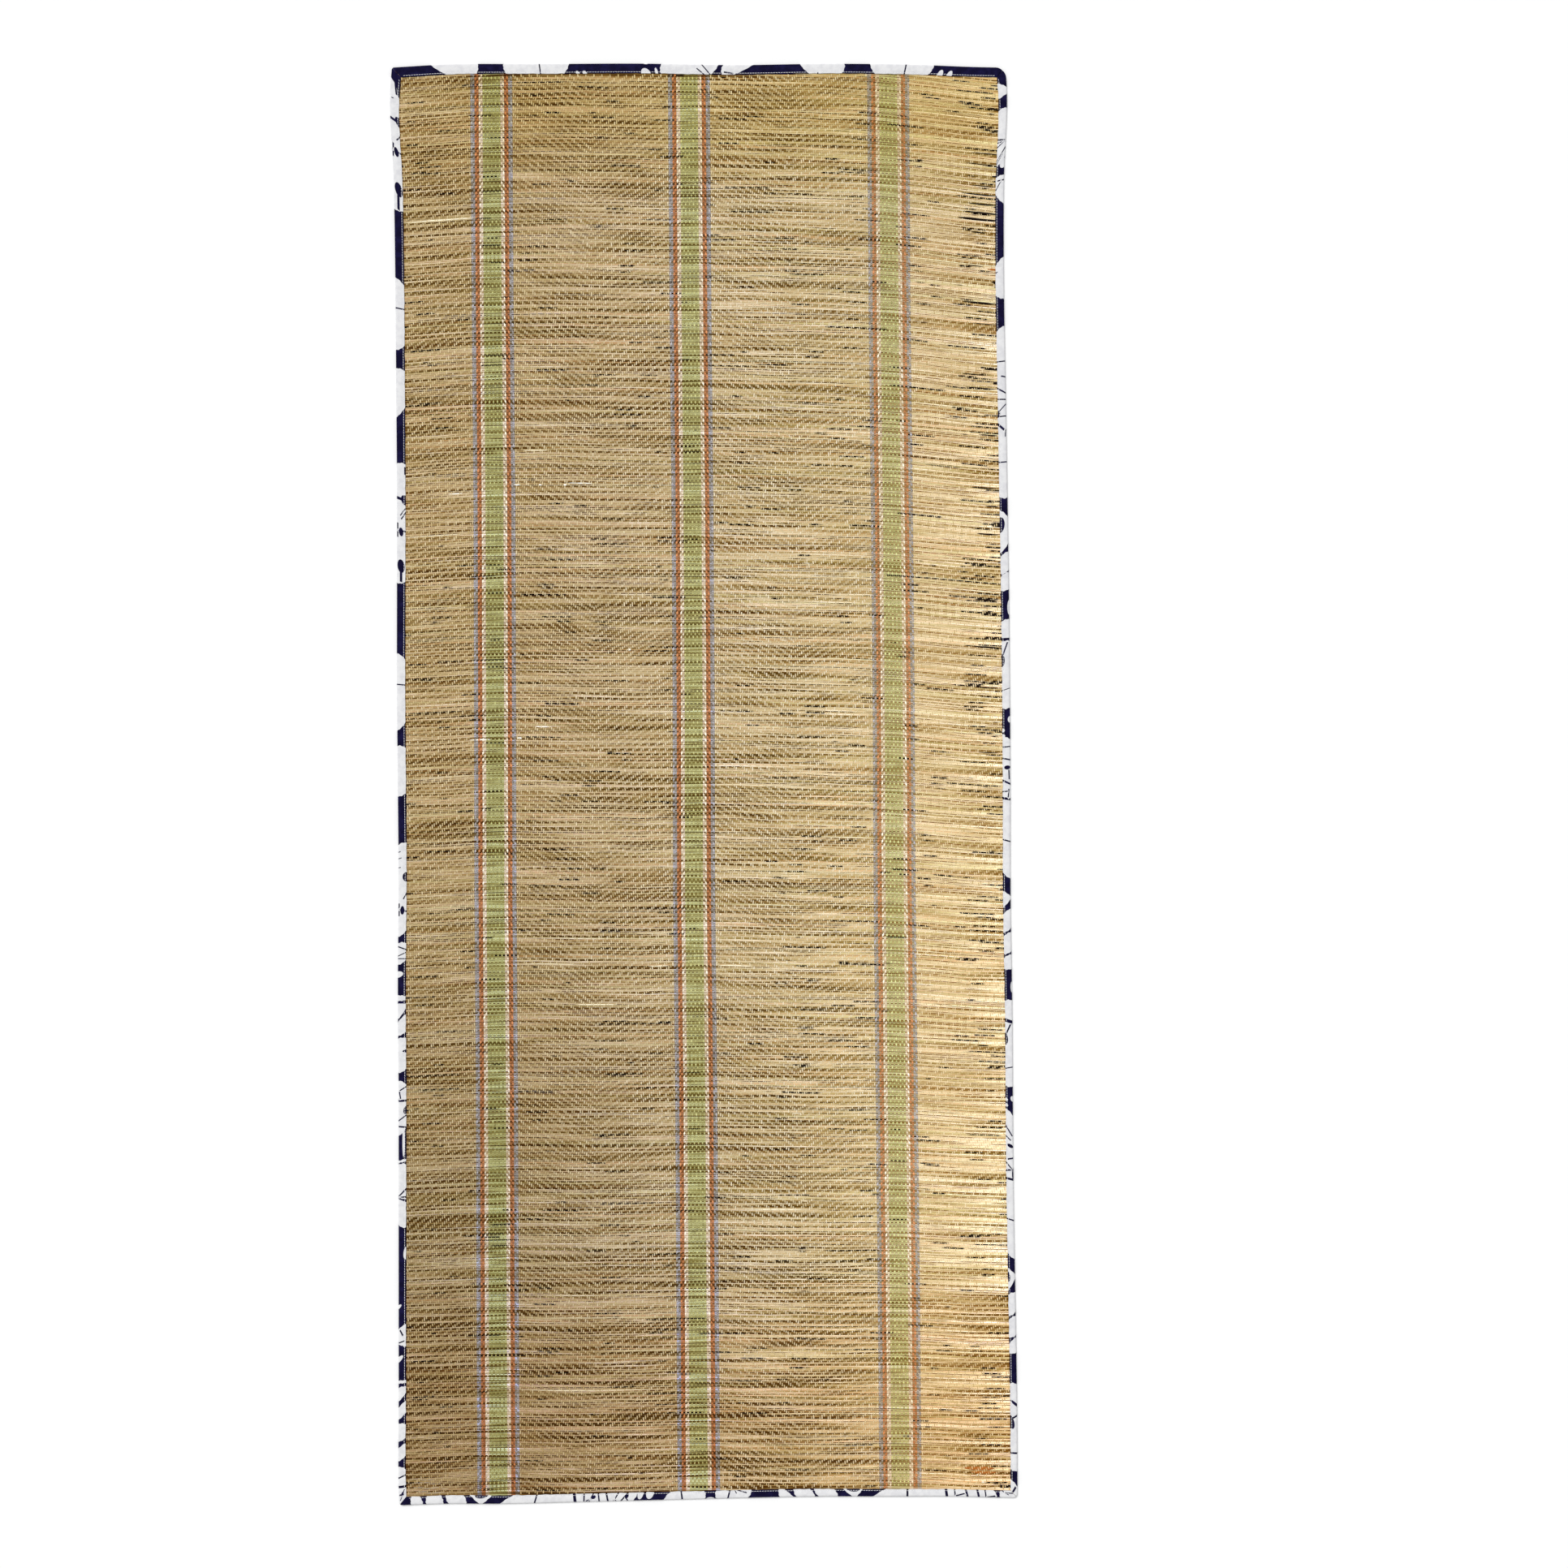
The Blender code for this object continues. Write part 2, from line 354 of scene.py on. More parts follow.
def tone_over_mat(x, y):
    """How much of its light each colour channel keeps at a place on the mat: a smooth fall towards the foot, full
    on the left and none on the right, a smaller one at both ends, and a turn to gold there."""
    left = np.clip((0.25 - x) / 0.55, 0, 1)
    right = np.clip((x - 0.05) / 0.20, 0, 1)
    top = eased((y - 0.72) / 0.12) * np.clip((x + 0.44) / 0.20, 0, 1)
    foot = eased((-0.55 - y) / 0.25)
    light = 1 - 0.30 * left * eased((0.20 - y) / 1.0)
    light = light * (1 + 0.06 * (1 - left) * eased((0.25 - y) / 0.5))
    light = light * (1 - 0.09 * right * eased((y - 0.35) / 0.30))
    light = light * (1 - 0.15 * top) * (1 - 0.21 * foot)
    gold = (1 + top[..., None] * (TOP_GOLD - 1)) * (1 + foot[..., None] * (FOOT_GOLD - 1))
    return light[..., None] * gold


def straw_colour(x, y):
    """The straw's colour as light: its tones across the mat, straight between their places, times its tone over the
    mat.
    """
    places = [place for place, _ in STRAW_TONES]
    tones = np.array([linear(*colour)[:3] for _, colour in STRAW_TONES])
    across = np.stack([np.interp(x, places, tones[:, channel]) for channel in range(3)], -1)
    return across * tone_over_mat(x, y)


# The three bands of warps: each one's middle across the mat, and how far it strays towards +X in millimetres at
# heights along the mat.
STRAY_AT = np.array([-870, -620, -380, -130, 110, 350, 600, 840]) / 1000
BANDS = {
    "left": (-0.2606, (-1.4, -0.8, 0.2, 0.1, 1.3, 2.3, 1.9, 2.0)),
    "middle": (-0.01125, (-0.2, -0.2, 0.0, -1.0, 0.2, 0.4, -0.3, -0.4)),
    "right": (0.2398, (1.1, 0.6, -0.2, -1.1, -0.6, -1.2, -2.4, -2.2)),
}
BAND_MIDDLES = np.array([middle for middle, _ in BANDS.values()])


def stray(x, y):
    """How far the warps at x stray at height y: the bands' lines, straight between heights and between bands."""
    lines = [np.interp(y, STRAY_AT, np.array(line) / 1000) for _, line in BANDS.values()]
    to_middle = np.clip((x - BAND_MIDDLES[0]) / (BAND_MIDDLES[1] - BAND_MIDDLES[0]), 0, 1)
    to_right = np.clip((x - BAND_MIDDLES[1]) / (BAND_MIDDLES[2] - BAND_MIDDLES[1]), 0, 1)
    return lines[0] + (lines[1] - lines[0]) * to_middle + (lines[2] - lines[1]) * to_right


LANE_SPACING = 0.25  # between bands, as the material counts it
LANE_PLACES = np.array([BAND_MIDDLES[0] - LANE_SPACING, *BAND_MIDDLES, BAND_MIDDLES[2] + LANE_SPACING])


def lane(x, y):
    """Where a place lies across the mat, counted so that the bands' middles are exactly evenly apart."""
    return np.interp(x - stray(x, y), LANE_PLACES, np.arange(-2, 3) * LANE_SPACING)


# Fuzz and dye of the bands' yarn, on the straw between their threads, from a band's middle to its side.
UNDER_BANDS = (
    (0.0000, (160, 156, 96)),
    (0.0300, (144, 139, 132)),
    (0.0108, (160, 156, 96)),
    (0.0116, (196, 174, 140)),
    (0.0156, (196, 174, 140)),
    (0.0162, (144, 86, 50)),
    (0.0208, (144, 86, 50)),
    (0.0216, (144, 139, 132)),
)
# Painted shade in the gaps between straws: brown on the left and middle, golden on the right, and black painted shadow
# where the gaps gape most.
GAP_SHADE_BROWN = linear(88, 50, 8)
GAP_SHADE_GOLD = linear(150, 100, 34)
GAP_SHADOW_BLACK = linear(24, 12, 6)
BROWNING = (0.82, 1.04, 1.70)  # powers of a straw's tone that its red, green and blue follow: dark straw is browner
GREEN_STRAW = (0.90, 1.00, 0.72, 1.0)
RED_STRAW = (1.00, 0.80, 0.66, 1.0)


def make_straw_material():
    """Dry straw. Its tone changes from straw to straw and slowly along each, in streaks along it, and its fibres
    are fine lines. Between straws is painted shade: the gaps are dark in some places and shut in others, more open on
    the right, with black painted shadow where they gape most and in dashes, most of them near the right end."""
    material = bpy.data.materials.new("dry_straw")
    material.use_nodes = True
    tree = material.node_tree
    place = add_node(tree, "Attribute", attribute_name="straw_place").outputs["Vector"]
    split = add_node(tree, "SeparateXYZ", (0, place)).outputs
    base = add_node(tree, "Attribute", attribute_name="straw_tint").outputs["Color"]
    across = add_node(tree, "Attribute", attribute_name="lane").outputs["Fac"]
    at = add_node(tree, "SeparateXYZ", (0, add_node(tree, "TexCoord").outputs["Object"])).outputs

    slow = streaks(tree, place, (4.0, 0.0, 5.37), (0.0, 0.0, 3.0))
    patchy = streaks(tree, place, (14.0, 1.7, 9.71), (7.0, 0.0, 1.0), 2.0)
    pale = streaks(tree, place, (9.0, 1.3, 7.93), (4.0, 2.0, 8.0), 1.0)
    fibres = streaks(tree, place, (26.0, 7.0, 3.31), (2.0, 5.0, 0.0), 3.0)
    hue = streaks(tree, place, (3.0, 0.9, 11.13), (1.0, 9.0, 4.0))

    base = mix_colours(tree, ramp(tree, hue, 0.53, 0.68, 0.0, 0.60), base, GREEN_STRAW, "MULTIPLY")
    base = mix_colours(tree, ramp(tree, hue, 0.47, 0.32, 0.0, 0.75), base, RED_STRAW, "MULTIPLY")

    beside_band = maths(tree, "FLOORED_MODULO", maths(tree, "ADD", across, LANE_SPACING / 2), LANE_SPACING)
    beside_band = maths(tree, "ABSOLUTE", maths(tree, "SUBTRACT", beside_band, LANE_SPACING / 2))
    under = colour_line(tree, beside_band, UNDER_BANDS, 0.0, 0.0300)
    dyed = maths(tree, "MULTIPLY", ramp(tree, beside_band, 0.0268, 0.0258), ramp(tree, at[0], 0.10, 0.20, 0.82, 0.55))
    base = mix_colours(tree, dyed, base, under)

    near_end = ramp(tree, at[0], 0.295, 0.372)
    strong = maths(tree, "MULTIPLY_ADD", near_end, 0.75, 1.0)
    slow = maths(tree, "MULTIPLY", ramp(tree, slow, 0.36, 0.58, -0.70, 0.41), strong)
    tone = maths(tree, "ADD", slow, ramp(tree, patchy, 0.36, 0.62, -0.26, 0.21))
    tone = maths(tree, "ADD", tone, ramp(tree, fibres, 0.34, 0.66, -0.10, 0.10))
    tone = maths(tree, "ADD", tone, ramp(tree, pale, 0.57, 0.65, 0.0, 0.55))
    contrast = maths(tree, "MULTIPLY", ramp(tree, at[0], 0.05, 0.27, 1.1, 0.62), ramp(tree, at[1], -0.45, -0.75, 1.0, 1.5))
    tone = maths(tree, "MAXIMUM", maths(tree, "MULTIPLY_ADD", tone, contrast, 1.0), 0.15)
    browned = [maths(tree, "POWER", tone, power) for power in BROWNING]
    base = mix_colours(tree, 1.0, base, add_node(tree, "CombineColor", *enumerate(browned)).outputs[0], "MULTIPLY")

    # Painted shade along the straws' edges, in the gaps between them: a dark line that is wider where a gap opens,
    # with black painted shadow in the deepest gaps and in dashes, most of them near the right end.
    folded = maths(tree, "SUBTRACT", 1.0, maths(tree, "ABSOLUTE", maths(tree, "SUBTRACT", 1.0, split[1])))
    upper = maths(tree, "GREATER_THAN", folded, 0.5)
    neighbour = maths(tree, "ADD", split[2], upper)
    beside = maths(tree, "MINIMUM", folded, maths(tree, "SUBTRACT", 1.0, folded))
    seam = add_node(tree, "CombineXYZ", (0, split[0]), (1, neighbour)).outputs[0]
    long_gaps = streaks(tree, seam, (2.6, 7.77, 0.0), (0.0, 0.0, 6.0), 1.0)
    short_gaps = streaks(tree, seam, (22.0, 3.17, 0.0), (0.0, 4.0, 9.0), 1.0)
    gaps = maths(tree, "MULTIPLY_ADD", short_gaps, 0.45, maths(tree, "MULTIPLY", long_gaps, 0.55))
    opened = ramp(tree, gaps, 0.49, 0.57)
    reach = maths(tree, "MULTIPLY", near_end, ramp(tree, at[1], -0.40, 0.40, 0.055, 0.10))
    dashes = streaks(tree, seam, (13.0, 5.31, 0.0), (0.0, 8.0, 2.0), 1.0)
    dashed_gap_shadow = ramp(tree, maths(tree, "ADD", dashes, reach), 0.665, 0.695)
    gold = ramp(tree, at[0], 0.200, 0.262)
    deepest_gap_shadow = maths(tree, "MULTIPLY", ramp(tree, gaps, 0.57, 0.62, 0.0, 0.7), maths(tree, "SUBTRACT", 1.0, gold))
    width = maths(tree, "MAXIMUM", maths(tree, "MULTIPLY_ADD", opened, 0.32, 0.06), maths(tree, "MULTIPLY", dashed_gap_shadow, 0.80))
    line = maths(tree, "SUBTRACT", 1.0, maths(tree, "DIVIDE", beside, width))
    line = ramp(tree, line, 0.0, 0.5)
    dark = maths(tree, "MULTIPLY_ADD", opened, 0.88, 0.06)
    dark = maths(tree, "MULTIPLY", line, maths(tree, "MAXIMUM", dark, dashed_gap_shadow))
    blackest_gap_shadow = maths(tree, "MAXIMUM", deepest_gap_shadow, dashed_gap_shadow)
    gap_shade_colour = mix_colours(tree, gold, GAP_SHADE_BROWN, GAP_SHADE_GOLD)
    base = mix_colours(tree, dark, base, mix_colours(tree, blackest_gap_shadow, gap_shade_colour, GAP_SHADOW_BLACK))

    relief = maths(tree, "MULTIPLY_ADD", fibres, 0.6, maths(tree, "MULTIPLY", patchy, 0.4))
    bump = add_node(tree, "Bump", ("Height", relief), ("Strength", 0.6), ("Distance", 0.0005))
    shader = tree.nodes["Principled BSDF"]
    shader.inputs["Specular IOR Level"].default_value = 0.04
    tree.links.new(base, shader.inputs["Base Color"])
    tree.links.new(ramp(tree, fibres, 0.3, 0.7, 0.50, 0.68), shader.inputs["Roughness"])
    tree.links.new(bump.outputs[0], shader.inputs["Normal"])
    return material


dry_straw = make_straw_material()
SECTION_ACROSS = np.array([0.0, 0.22, 0.78, 1.0, 0.5])  # a straw's section, over it and back under it
SECTION_UP = np.array([0.45, 1.0, 1.0, 0.45, -1.0])
SECTION_ROUND = np.array([0.0, 0.22, 0.78, 1.0, 1.5, 2.0])  # the same, as the material counts it
STRAW_STATIONS = 23
EDGE_GAP = 0.000004

# Each straw runs where its middle line lies inside the rim.
fine_x = np.linspace(-0.398, 0.398, 400)
numbers = np.arange(straw_count)
middle_lines = (
    bound_between(numbers[:, None], fine_x[None, :]) + bound_between(numbers[:, None] + 1, fine_x[None, :])
) / 2
within = inside_edge(np.broadcast_to(fine_x, middle_lines.shape), middle_lines)[0] > RIM_INSET
runs = within.sum(1) > 6
numbers = numbers[runs]
first = fine_x[within[runs].argmax(1)]
last = fine_x[len(fine_x) - 1 - within[runs][:, ::-1].argmax(1)]
straw_ends = np.column_stack([first, last])

# Stations close to both ends, for the rim and its shoulder, and evenly between.
length = last - first
margin = np.minimum(0.0100, length * 0.15)
shares = np.linspace(0, 1, STRAW_STATIONS - 4)
inner = first[:, None] + margin[:, None] * 1.25 + shares * (length - 2.5 * margin)[:, None]
stations = np.column_stack([first, first + margin, inner, last - margin, last])

top_line, foot_line = (
    np.interp(stations, *edges[side][np.argsort(edges[side][:, 0])].T) - sign * RIM_INSET
    for side, sign in (("top", 1), ("foot", -1))
)
low = bound_between(numbers[:, None], stations) + EDGE_GAP
high = bound_between(numbers[:, None] + 1, stations) - EDGE_GAP
height = RIM_THICK / 2 + openness(stations, (low + high) / 2) * (WEAVE_THICK - RIM_THICK) / 2
centre_up = np.interp(openness(stations, (low + high) / 2), (0, 1), (RIM_MIDDLE, WEAVE_THICK / 2))
plump = chance.uniform(0.84, 1.0, (len(numbers), 1)) + chance.normal(0, 0.02, stations.shape)
lean = chance.normal(0, 0.035, (len(numbers), 1, 1)) * np.sign(SECTION_ACROSS - 0.5)
across = low[:, :, None] + (high - low)[:, :, None] * SECTION_ACROSS
up = centre_up[:, :, None] + (height * np.clip(plump, 0.8, 1))[:, :, None] * SECTION_UP * (1 - np.abs(lean) + lean)
across = np.clip(across, foot_line[:, :, None], top_line[:, :, None])
straw_points = np.stack([np.broadcast_to(stations[:, :, None], across.shape), across, up], -1)

around = len(SECTION_ACROSS)
station, spoke = np.meshgrid(np.arange(STRAW_STATIONS - 1), np.arange(around), indexing="ij")
following = (spoke + 1) % around
straw_faces = np.stack(
    [station * around + spoke, (station + 1) * around + spoke, (station + 1) * around + following, station * around + following],
    -1,
).reshape(-1, 4)
straw_turns = np.stack([SECTION_ROUND[spoke], SECTION_ROUND[spoke], SECTION_ROUND[spoke + 1], SECTION_ROUND[spoke + 1]], -1)
straw_turns = straw_turns.reshape(-1, 4)
straw_caps = np.stack([np.arange(around), np.arange(around)[::-1] + (STRAW_STATIONS - 1) * around])

STRAW_PARTS = ("straws_foot", "straws_lower", "straws_upper", "straws_head")
straw_pieces = []
for part, name in enumerate(STRAW_PARTS):
    chosen = np.array_split(np.arange(len(numbers)), len(STRAW_PARTS))[part]
    points = straw_points[chosen].reshape(-1, 3)
    first_point = np.arange(len(chosen))[:, None, None] * STRAW_STATIONS * around
    sides = (straw_faces[None] + first_point).reshape(-1, 4)
    caps = (straw_caps[None] + first_point).reshape(-1, around)
    piece = make_piece(name, points, [sides, caps], dry_straw)
    turns = np.concatenate([np.tile(straw_turns.ravel(), len(chosen)), np.tile(SECTION_ROUND[:-1], 2 * len(chosen))])
    rows = np.concatenate([np.repeat(np.arange(len(chosen)), straw_turns.size), np.repeat(np.arange(len(chosen)), 2 * around)])
    along = points[np.concatenate([sides.ravel(), caps.ravel()]), 0]
    give(piece, "straw_place", "FLOAT_VECTOR", "CORNER", np.column_stack([along, turns, numbers[chosen][rows]]))
    corner = points[np.concatenate([sides.ravel(), caps.ravel()])]
    straw_tint = np.column_stack([straw_colour(corner[:, 0], corner[:, 1]), np.ones(len(corner))])
    give(piece, "straw_tint", "FLOAT_COLOR", "CORNER", straw_tint)
    give(piece, "lane", "FLOAT", "CORNER", lane(corner[:, 0], corner[:, 1]))
    lay_out(piece, np.column_stack([(along + 0.39) / 0.78, (rows + 0.04 + 0.92 * turns / 2) / len(chosen)]))
    straw_pieces.append(piece)
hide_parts("straw_panel")
for piece in straw_pieces[1:]:
    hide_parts("straw_panel")


# STRAW MARKS
# Near-black slivers of painted shadow in splits and at broken ends, where the weave gapes between two straws, pale
# slivers of peeled straw, white specks of husk and one stained patch near the foot. They lie at the height of the
# straws' tops, so that the warps pass over them.

# Each mark's middle, half its length and half its width, in millimetres on the mat.
# Splits: near-black painted shadow where the weave gapes between two straws.
SPLIT_SHADOWS = (
    (351, 732.9, 23, 1.0), (355, 720.7, 19, 1.2), (352, 710.1, 22, 1.3), (349, 702, 25, 1.6),
    (351, 597.4, 22, 1.4), (358, 308.1, 13, 1.1), (356, 225.9, 15, 1.2), (355, 167, 15, 1.2),
    (355, 365.9, 17, 1.0), (356, 743.5, 14, 0.7), (360, 431.9, 12, 0.8), (367, 839.9, 8, 1.0),
    (364, 514.1, 9, 1.1), (364, 342.5, 8, 1.0), (349, 685.7, 9, 0.9), (348, -331.3, 7, 0.9),
    (352, 490.8, 20, 0.7), (343, 508.1, 15, 0.7), (344, 644.1, 11, 0.6), (357, 571, 16, 0.6),
    (356, 116.2, 14, 0.7), (357, 35, 12, 0.6), (358, 784.1, 17, 0.8), (352, 771, 18, 0.6),
    (-56, 792.1, 13, 1.0), (93, 522.1, 24, 1.1), (41, 29.1, 4, 0.9), (-341, -686.8, 4, 1.0),
    (58, -720.6, 17, 1.0), (31, 881.8, 4, 1.0), (-233, -691.1, 4, 1.2), (-197, -711.7, 3, 1.1),
    (42, -775.8, 4, 1.2), (-97, -843.8, 4, 1.0), (94, -500.1, 18, 0.9), (279, 405.1, 43, 0.6),
    (304, 393.7, 23, 0.7),
)
PEELINGS = (
    (-57, -229, 13, 0.9), (39, -229.2, 21, 1.1), (-190, -225.5, 36, 0.6), (-135, -276.7, 26, 0.9),
    (-324, 705.7, 46, 1.1), (-206, 417.1, 16, 0.8), (114, -414.4, 6, 0.7), (102, 177.4, 5, 0.7),
    (96, -251.9, 5, 0.7), (86, -534.5, 41, 0.9), (124, -524.1, 4, 0.6), (132, 273.6, 4, 0.7),
    (-334, 310.9, 36, 0.6), (-144, -759.2, 91, 0.9), (-200, 505.9, 24, 0.6),
)
HUSKS = (
    (-307, 363.5, 9, 1.0), (-151, 375.6, 15, 0.9), (-244, 168.2, 2, 1.5), (-91, 167.1, 2, 1.4),
    (-199, 71.4, 10, 1.0), (-278, 55.8, 14, 1.0), (-229, 57.4, 3, 1.6), (345, -877.4, 3, 1.3),
    (338, -868.2, 2, 1.3), (-230, 374.1, 4, 1.2), (-201, 373.9, 2, 1.2), (-170, 373.7, 2, 1.3),
)
PALE_CORNER_PATCHES = (  # the foot-left corner, where the straw is paler
    (-366, -868.4, 9, 0.5), (-349, -869.6, 11, 0.5), (-358, -873.3, 12, 0.5), (-341, -874.8, 8, 0.5),
    (-362, -879.0, 7, 0.6), (-350, -880.7, 9, 0.6), (-341, -879.2, 6, 0.5), (-356, -884.5, 7, 0.6),
    (-345, -886.0, 8, 0.7), (-335, -885.2, 6, 0.6), (-329, -881.0, 5, 0.5),
)
STAINED = (
    (339, -860.1, 20, 2.6), (346, -865.2, 17, 1.8), (368, 638.9, 7, 1.8),
)
# The colour of each kind of mark. The near-black of the splits is painted shadow.
MARK_KINDS = (
    (SPLIT_SHADOWS, (28, 18, 12)), (PEELINGS, (252, 240, 208)), (HUSKS, (250, 246, 234)), (STAINED, (178, 108, 48)),
    (PALE_CORNER_PATCHES, (204, 190, 170)),
)
MARK_STATIONS = 7
MARK_LOW, MARK_HIGH = 0.00205, 0.00243
# Near the right edge the splits gape, and their painted shadow is lifted above the warps.
OVER_WARPS_FROM, OVER_WARPS = 0.320, 0.00030  # near the right edge the splits gape above the warps


def make_mark_material():
    """The surface of the marks and of the painted split shadows, in the colour that each one carries, with fine
    streaks along it.
    """
    material = bpy.data.materials.new("straw_marks_and_split_shadows")
    material.use_nodes = True
    tree = material.node_tree
    where = add_node(tree, "TexCoord").outputs["Object"]
    colour = add_node(tree, "Attribute", attribute_name="mark").outputs["Color"]
    shade = ramp(tree, streaks(tree, where, (60.0, 1500.0, 0.0), (0.0, 0.0, 0.0)), 0.3, 0.7, 0.78, 1.15)
    grey = add_node(tree, "CombineColor", (0, shade), (1, shade), (2, shade)).outputs[0]
    shader = tree.nodes["Principled BSDF"]
    tree.links.new(mix_colours(tree, 1.0, colour, grey, "MULTIPLY"), shader.inputs["Base Color"])
    shader.inputs["Roughness"].default_value = 0.8
    shader.inputs["Specular IOR Level"].default_value = 0.04
    return material


marks = np.array([row for kind, _ in MARK_KINDS for row in kind], float) / 1000
mark_colours = np.array([linear(*colour)[:3] for kind, colour in MARK_KINDS for _ in kind])
mark_shares = np.linspace(-1, 1, MARK_STATIONS)
mark_x = marks[:, :1] + marks[:, 2:3] * mark_shares + MIDDLE[0]
# Each lies along the straws, so its line has their slope there.
slope = sag(mark_x, marks[:, 1:2]) - sag(marks[:, :1] + MIDDLE[0], marks[:, 1:2])
mark_y = marks[:, 1:2] + slope + chance.normal(0, 0.00008, mark_x.shape) + MIDDLE[1]
mark_wide = marks[:, 3:4] * np.sqrt(np.clip(1.02 - mark_shares**2, 0, 1)) * chance.uniform(0.75, 1.1, mark_x.shape)
# Lifts the near-black painted-shadow splits near the right edge.
mark_lift = OVER_WARPS * ((marks[:, :1] > OVER_WARPS_FROM) & (mark_colours[:, :1] < 0.1))
mark_sections = [
    np.stack([mark_x, mark_y + side * mark_wide, np.full_like(mark_x, up) + mark_lift], -1)
    for side, up in ((-1, MARK_LOW), (-0.8, MARK_HIGH), (0.8, MARK_HIGH), (1, MARK_LOW))
]
mark_points = np.stack(mark_sections, 2).reshape(-1, 3)
station, spoke = np.meshgrid(np.arange(MARK_STATIONS - 1), np.arange(4), indexing="ij")
following = (spoke + 1) % 4
mark_sides = np.stack(
    [station * 4 + spoke, (station + 1) * 4 + spoke, (station + 1) * 4 + following, station * 4 + following], -1
).reshape(-1, 4)
mark_ends = np.array([(0, 1, 2, 3), (3, 2, 1, 0)]) + [[0], [(MARK_STATIONS - 1) * 4]]
mark_faces = np.concatenate([mark_sides, mark_ends])
mark_starts = np.arange(len(marks)) * MARK_STATIONS * 4
mark_faces = (mark_faces[None] + mark_starts[:, None, None]).reshape(-1, 4)
straw_marks_and_split_shadows = make_piece("straw_marks_and_split_shadows", mark_points, [mark_faces], make_mark_material())
mark_light = tone_over_mat(mark_points[:, 0], mark_points[:, 1]) ** 0.5
mark_paint = np.repeat(mark_colours, MARK_STATIONS * 4, 0) * mark_light
give(straw_marks_and_split_shadows, "mark", "FLOAT_COLOR", "POINT", np.column_stack([mark_paint, np.ones(len(mark_paint))]))


# GROUND WARPS
# Thin cotton threads along the mat that hold the straws in a herringbone twill: each passes over two straws and
# under two, one straw on from its neighbour. Only what shows of each thread is made.

BAND_WIDTH = 0.0525
WARP_PITCH = 0.00256
STITCH_LOW, STITCH_HIGH = 0.00218, 0.00270


def warp_x(home, y):
    """Where a warp lies across the mat at height y: its place, plus how far it strays, plus a small waver."""
    return home + stray(home, y) + 0.00015 * np.sin(y * 41 + home * 57)


def floats(homes, begins):
    """The places where warps pass over two straws: for each warp and straw where begins is true, the middle of the
    float over that straw and the next, half its height there and the warp's number. Those in the tape are left
    out."""
    warp, straw = np.nonzero(begins[:, :-1])
    number = numbers[straw]
    x = warp_x(homes[warp], straw_bounds[number + 1])
    below, above = bound_between(number, x), bound_between(number + 2, x)
    y = (below + above) / 2
    inside = (openness(x, y) > 0.6) & (x > straw_ends[straw, 0]) & (x < straw_ends[straw, 1])
    return np.column_stack([x, y])[inside], ((above - below) / 2)[inside], warp[inside]


# The upper faces and the lower ones have corners of their own, so that each side is shaded round by itself.
BUMP_FACES = ((0, 2, 3), (1, 3, 2), (4, 5, 6), (5, 4, 7))


def thread_bumps(places, half_long, half_wide, slant, low, high):
    """Closed four-faced bumps of thread, oblong from above and leaning by slant: two opposite corners are at height
    low and the other two at height high. Below the mat, low is above high and the faces turn over."""
    turn = np.stack([np.sin(slant), np.cos(slant)], -1)
    ends = half_long[:, None] * turn
    wide = half_wide[:, None] * turn[:, ::-1] * [1, -1]
    oblong = [places + ends + wide, places - ends - wide, places + ends - wide, places - ends + wide]
    flat = np.stack(oblong * 2, 1)
    up = np.stack([low, low, high, high] * 2, -1)
    points = np.concatenate([flat, up[:, :, None]], -1).reshape(-1, 3)
    faces = np.array(BUMP_FACES)
    turned = np.where((high > low)[:, None, None], faces[None], faces[None, :, ::-1])
    return points, (turned + 8 * np.arange(len(places))[:, None, None]).reshape(-1, 3)


def make_cotton_material(name, relief):
    """Matt cotton yarn in the colour that each thread carries, with fine twisted strands."""
    material = bpy.data.materials.new(name)
    material.use_nodes = True
    tree = material.node_tree
    where = add_node(tree, "TexCoord").outputs["Object"]
    colour = add_node(tree, "Attribute", attribute_name="yarn").outputs["Color"]
    strands = streaks(tree, where, (2600.0, 900.0, 900.0), (0.0, 0.0, 0.0), 1.0)
    shade = ramp(tree, strands, 0.3, 0.7, 0.82, 1.12)
    grey = add_node(tree, "CombineColor", (0, shade), (1, shade), (2, shade)).outputs[0]
    colour = mix_colours(tree, 1.0, colour, grey, "MULTIPLY")
    bump = add_node(tree, "Bump", ("Height", strands), ("Strength", relief), ("Distance", 0.00006))
    shader = tree.nodes["Principled BSDF"]
    tree.links.new(colour, shader.inputs["Base Color"])
    tree.links.new(bump.outputs[0], shader.inputs["Normal"])
    shader.inputs["Roughness"].default_value = 0.9
    shader.inputs["Specular IOR Level"].default_value = 0.04
    return material


def cells(count, corners_each):
    """A map for baking that gives each of count bumps a square cell of its own, with its corners spread in it."""
    side = int(np.ceil(np.sqrt(count)))
    spots = np.array([(0.1, 0.1), (0.9, 0.1), (0.5, 0.9)])
    cell = np.stack([np.arange(count) % side, np.arange(count) // side], -1)
    spread = np.tile(spots, (corners_each // 3, 1))
    return ((cell[:, None] + spread) / side).reshape(-1, 2)


ground_cotton = make_cotton_material("ground_cotton", 0.5)
GROUND_COTTON_LEFT = np.array(linear(222, 203, 160)[:3])
GROUND_COTTON = np.array(linear(234, 220, 187)[:3])
GROUND_COTTON_RIGHT = np.array(linear(234, 212, 168)[:3])
half_band = BAND_WIDTH / 2 + WARP_PITCH * 0.55
GROUNDS = {
    "ground_warps_left": (-0.3830, BAND_MIDDLES[0] - half_band),
    "ground_warps_inner_left": (BAND_MIDDLES[0] + half_band, BAND_MIDDLES[1] - half_band),
    "ground_warps_inner_right": (BAND_MIDDLES[1] + half_band, BAND_MIDDLES[2] - half_band),
    "ground_warps_right": (BAND_MIDDLES[2] + half_band, 0.3810),
}
straw_order = np.arange(len(numbers))
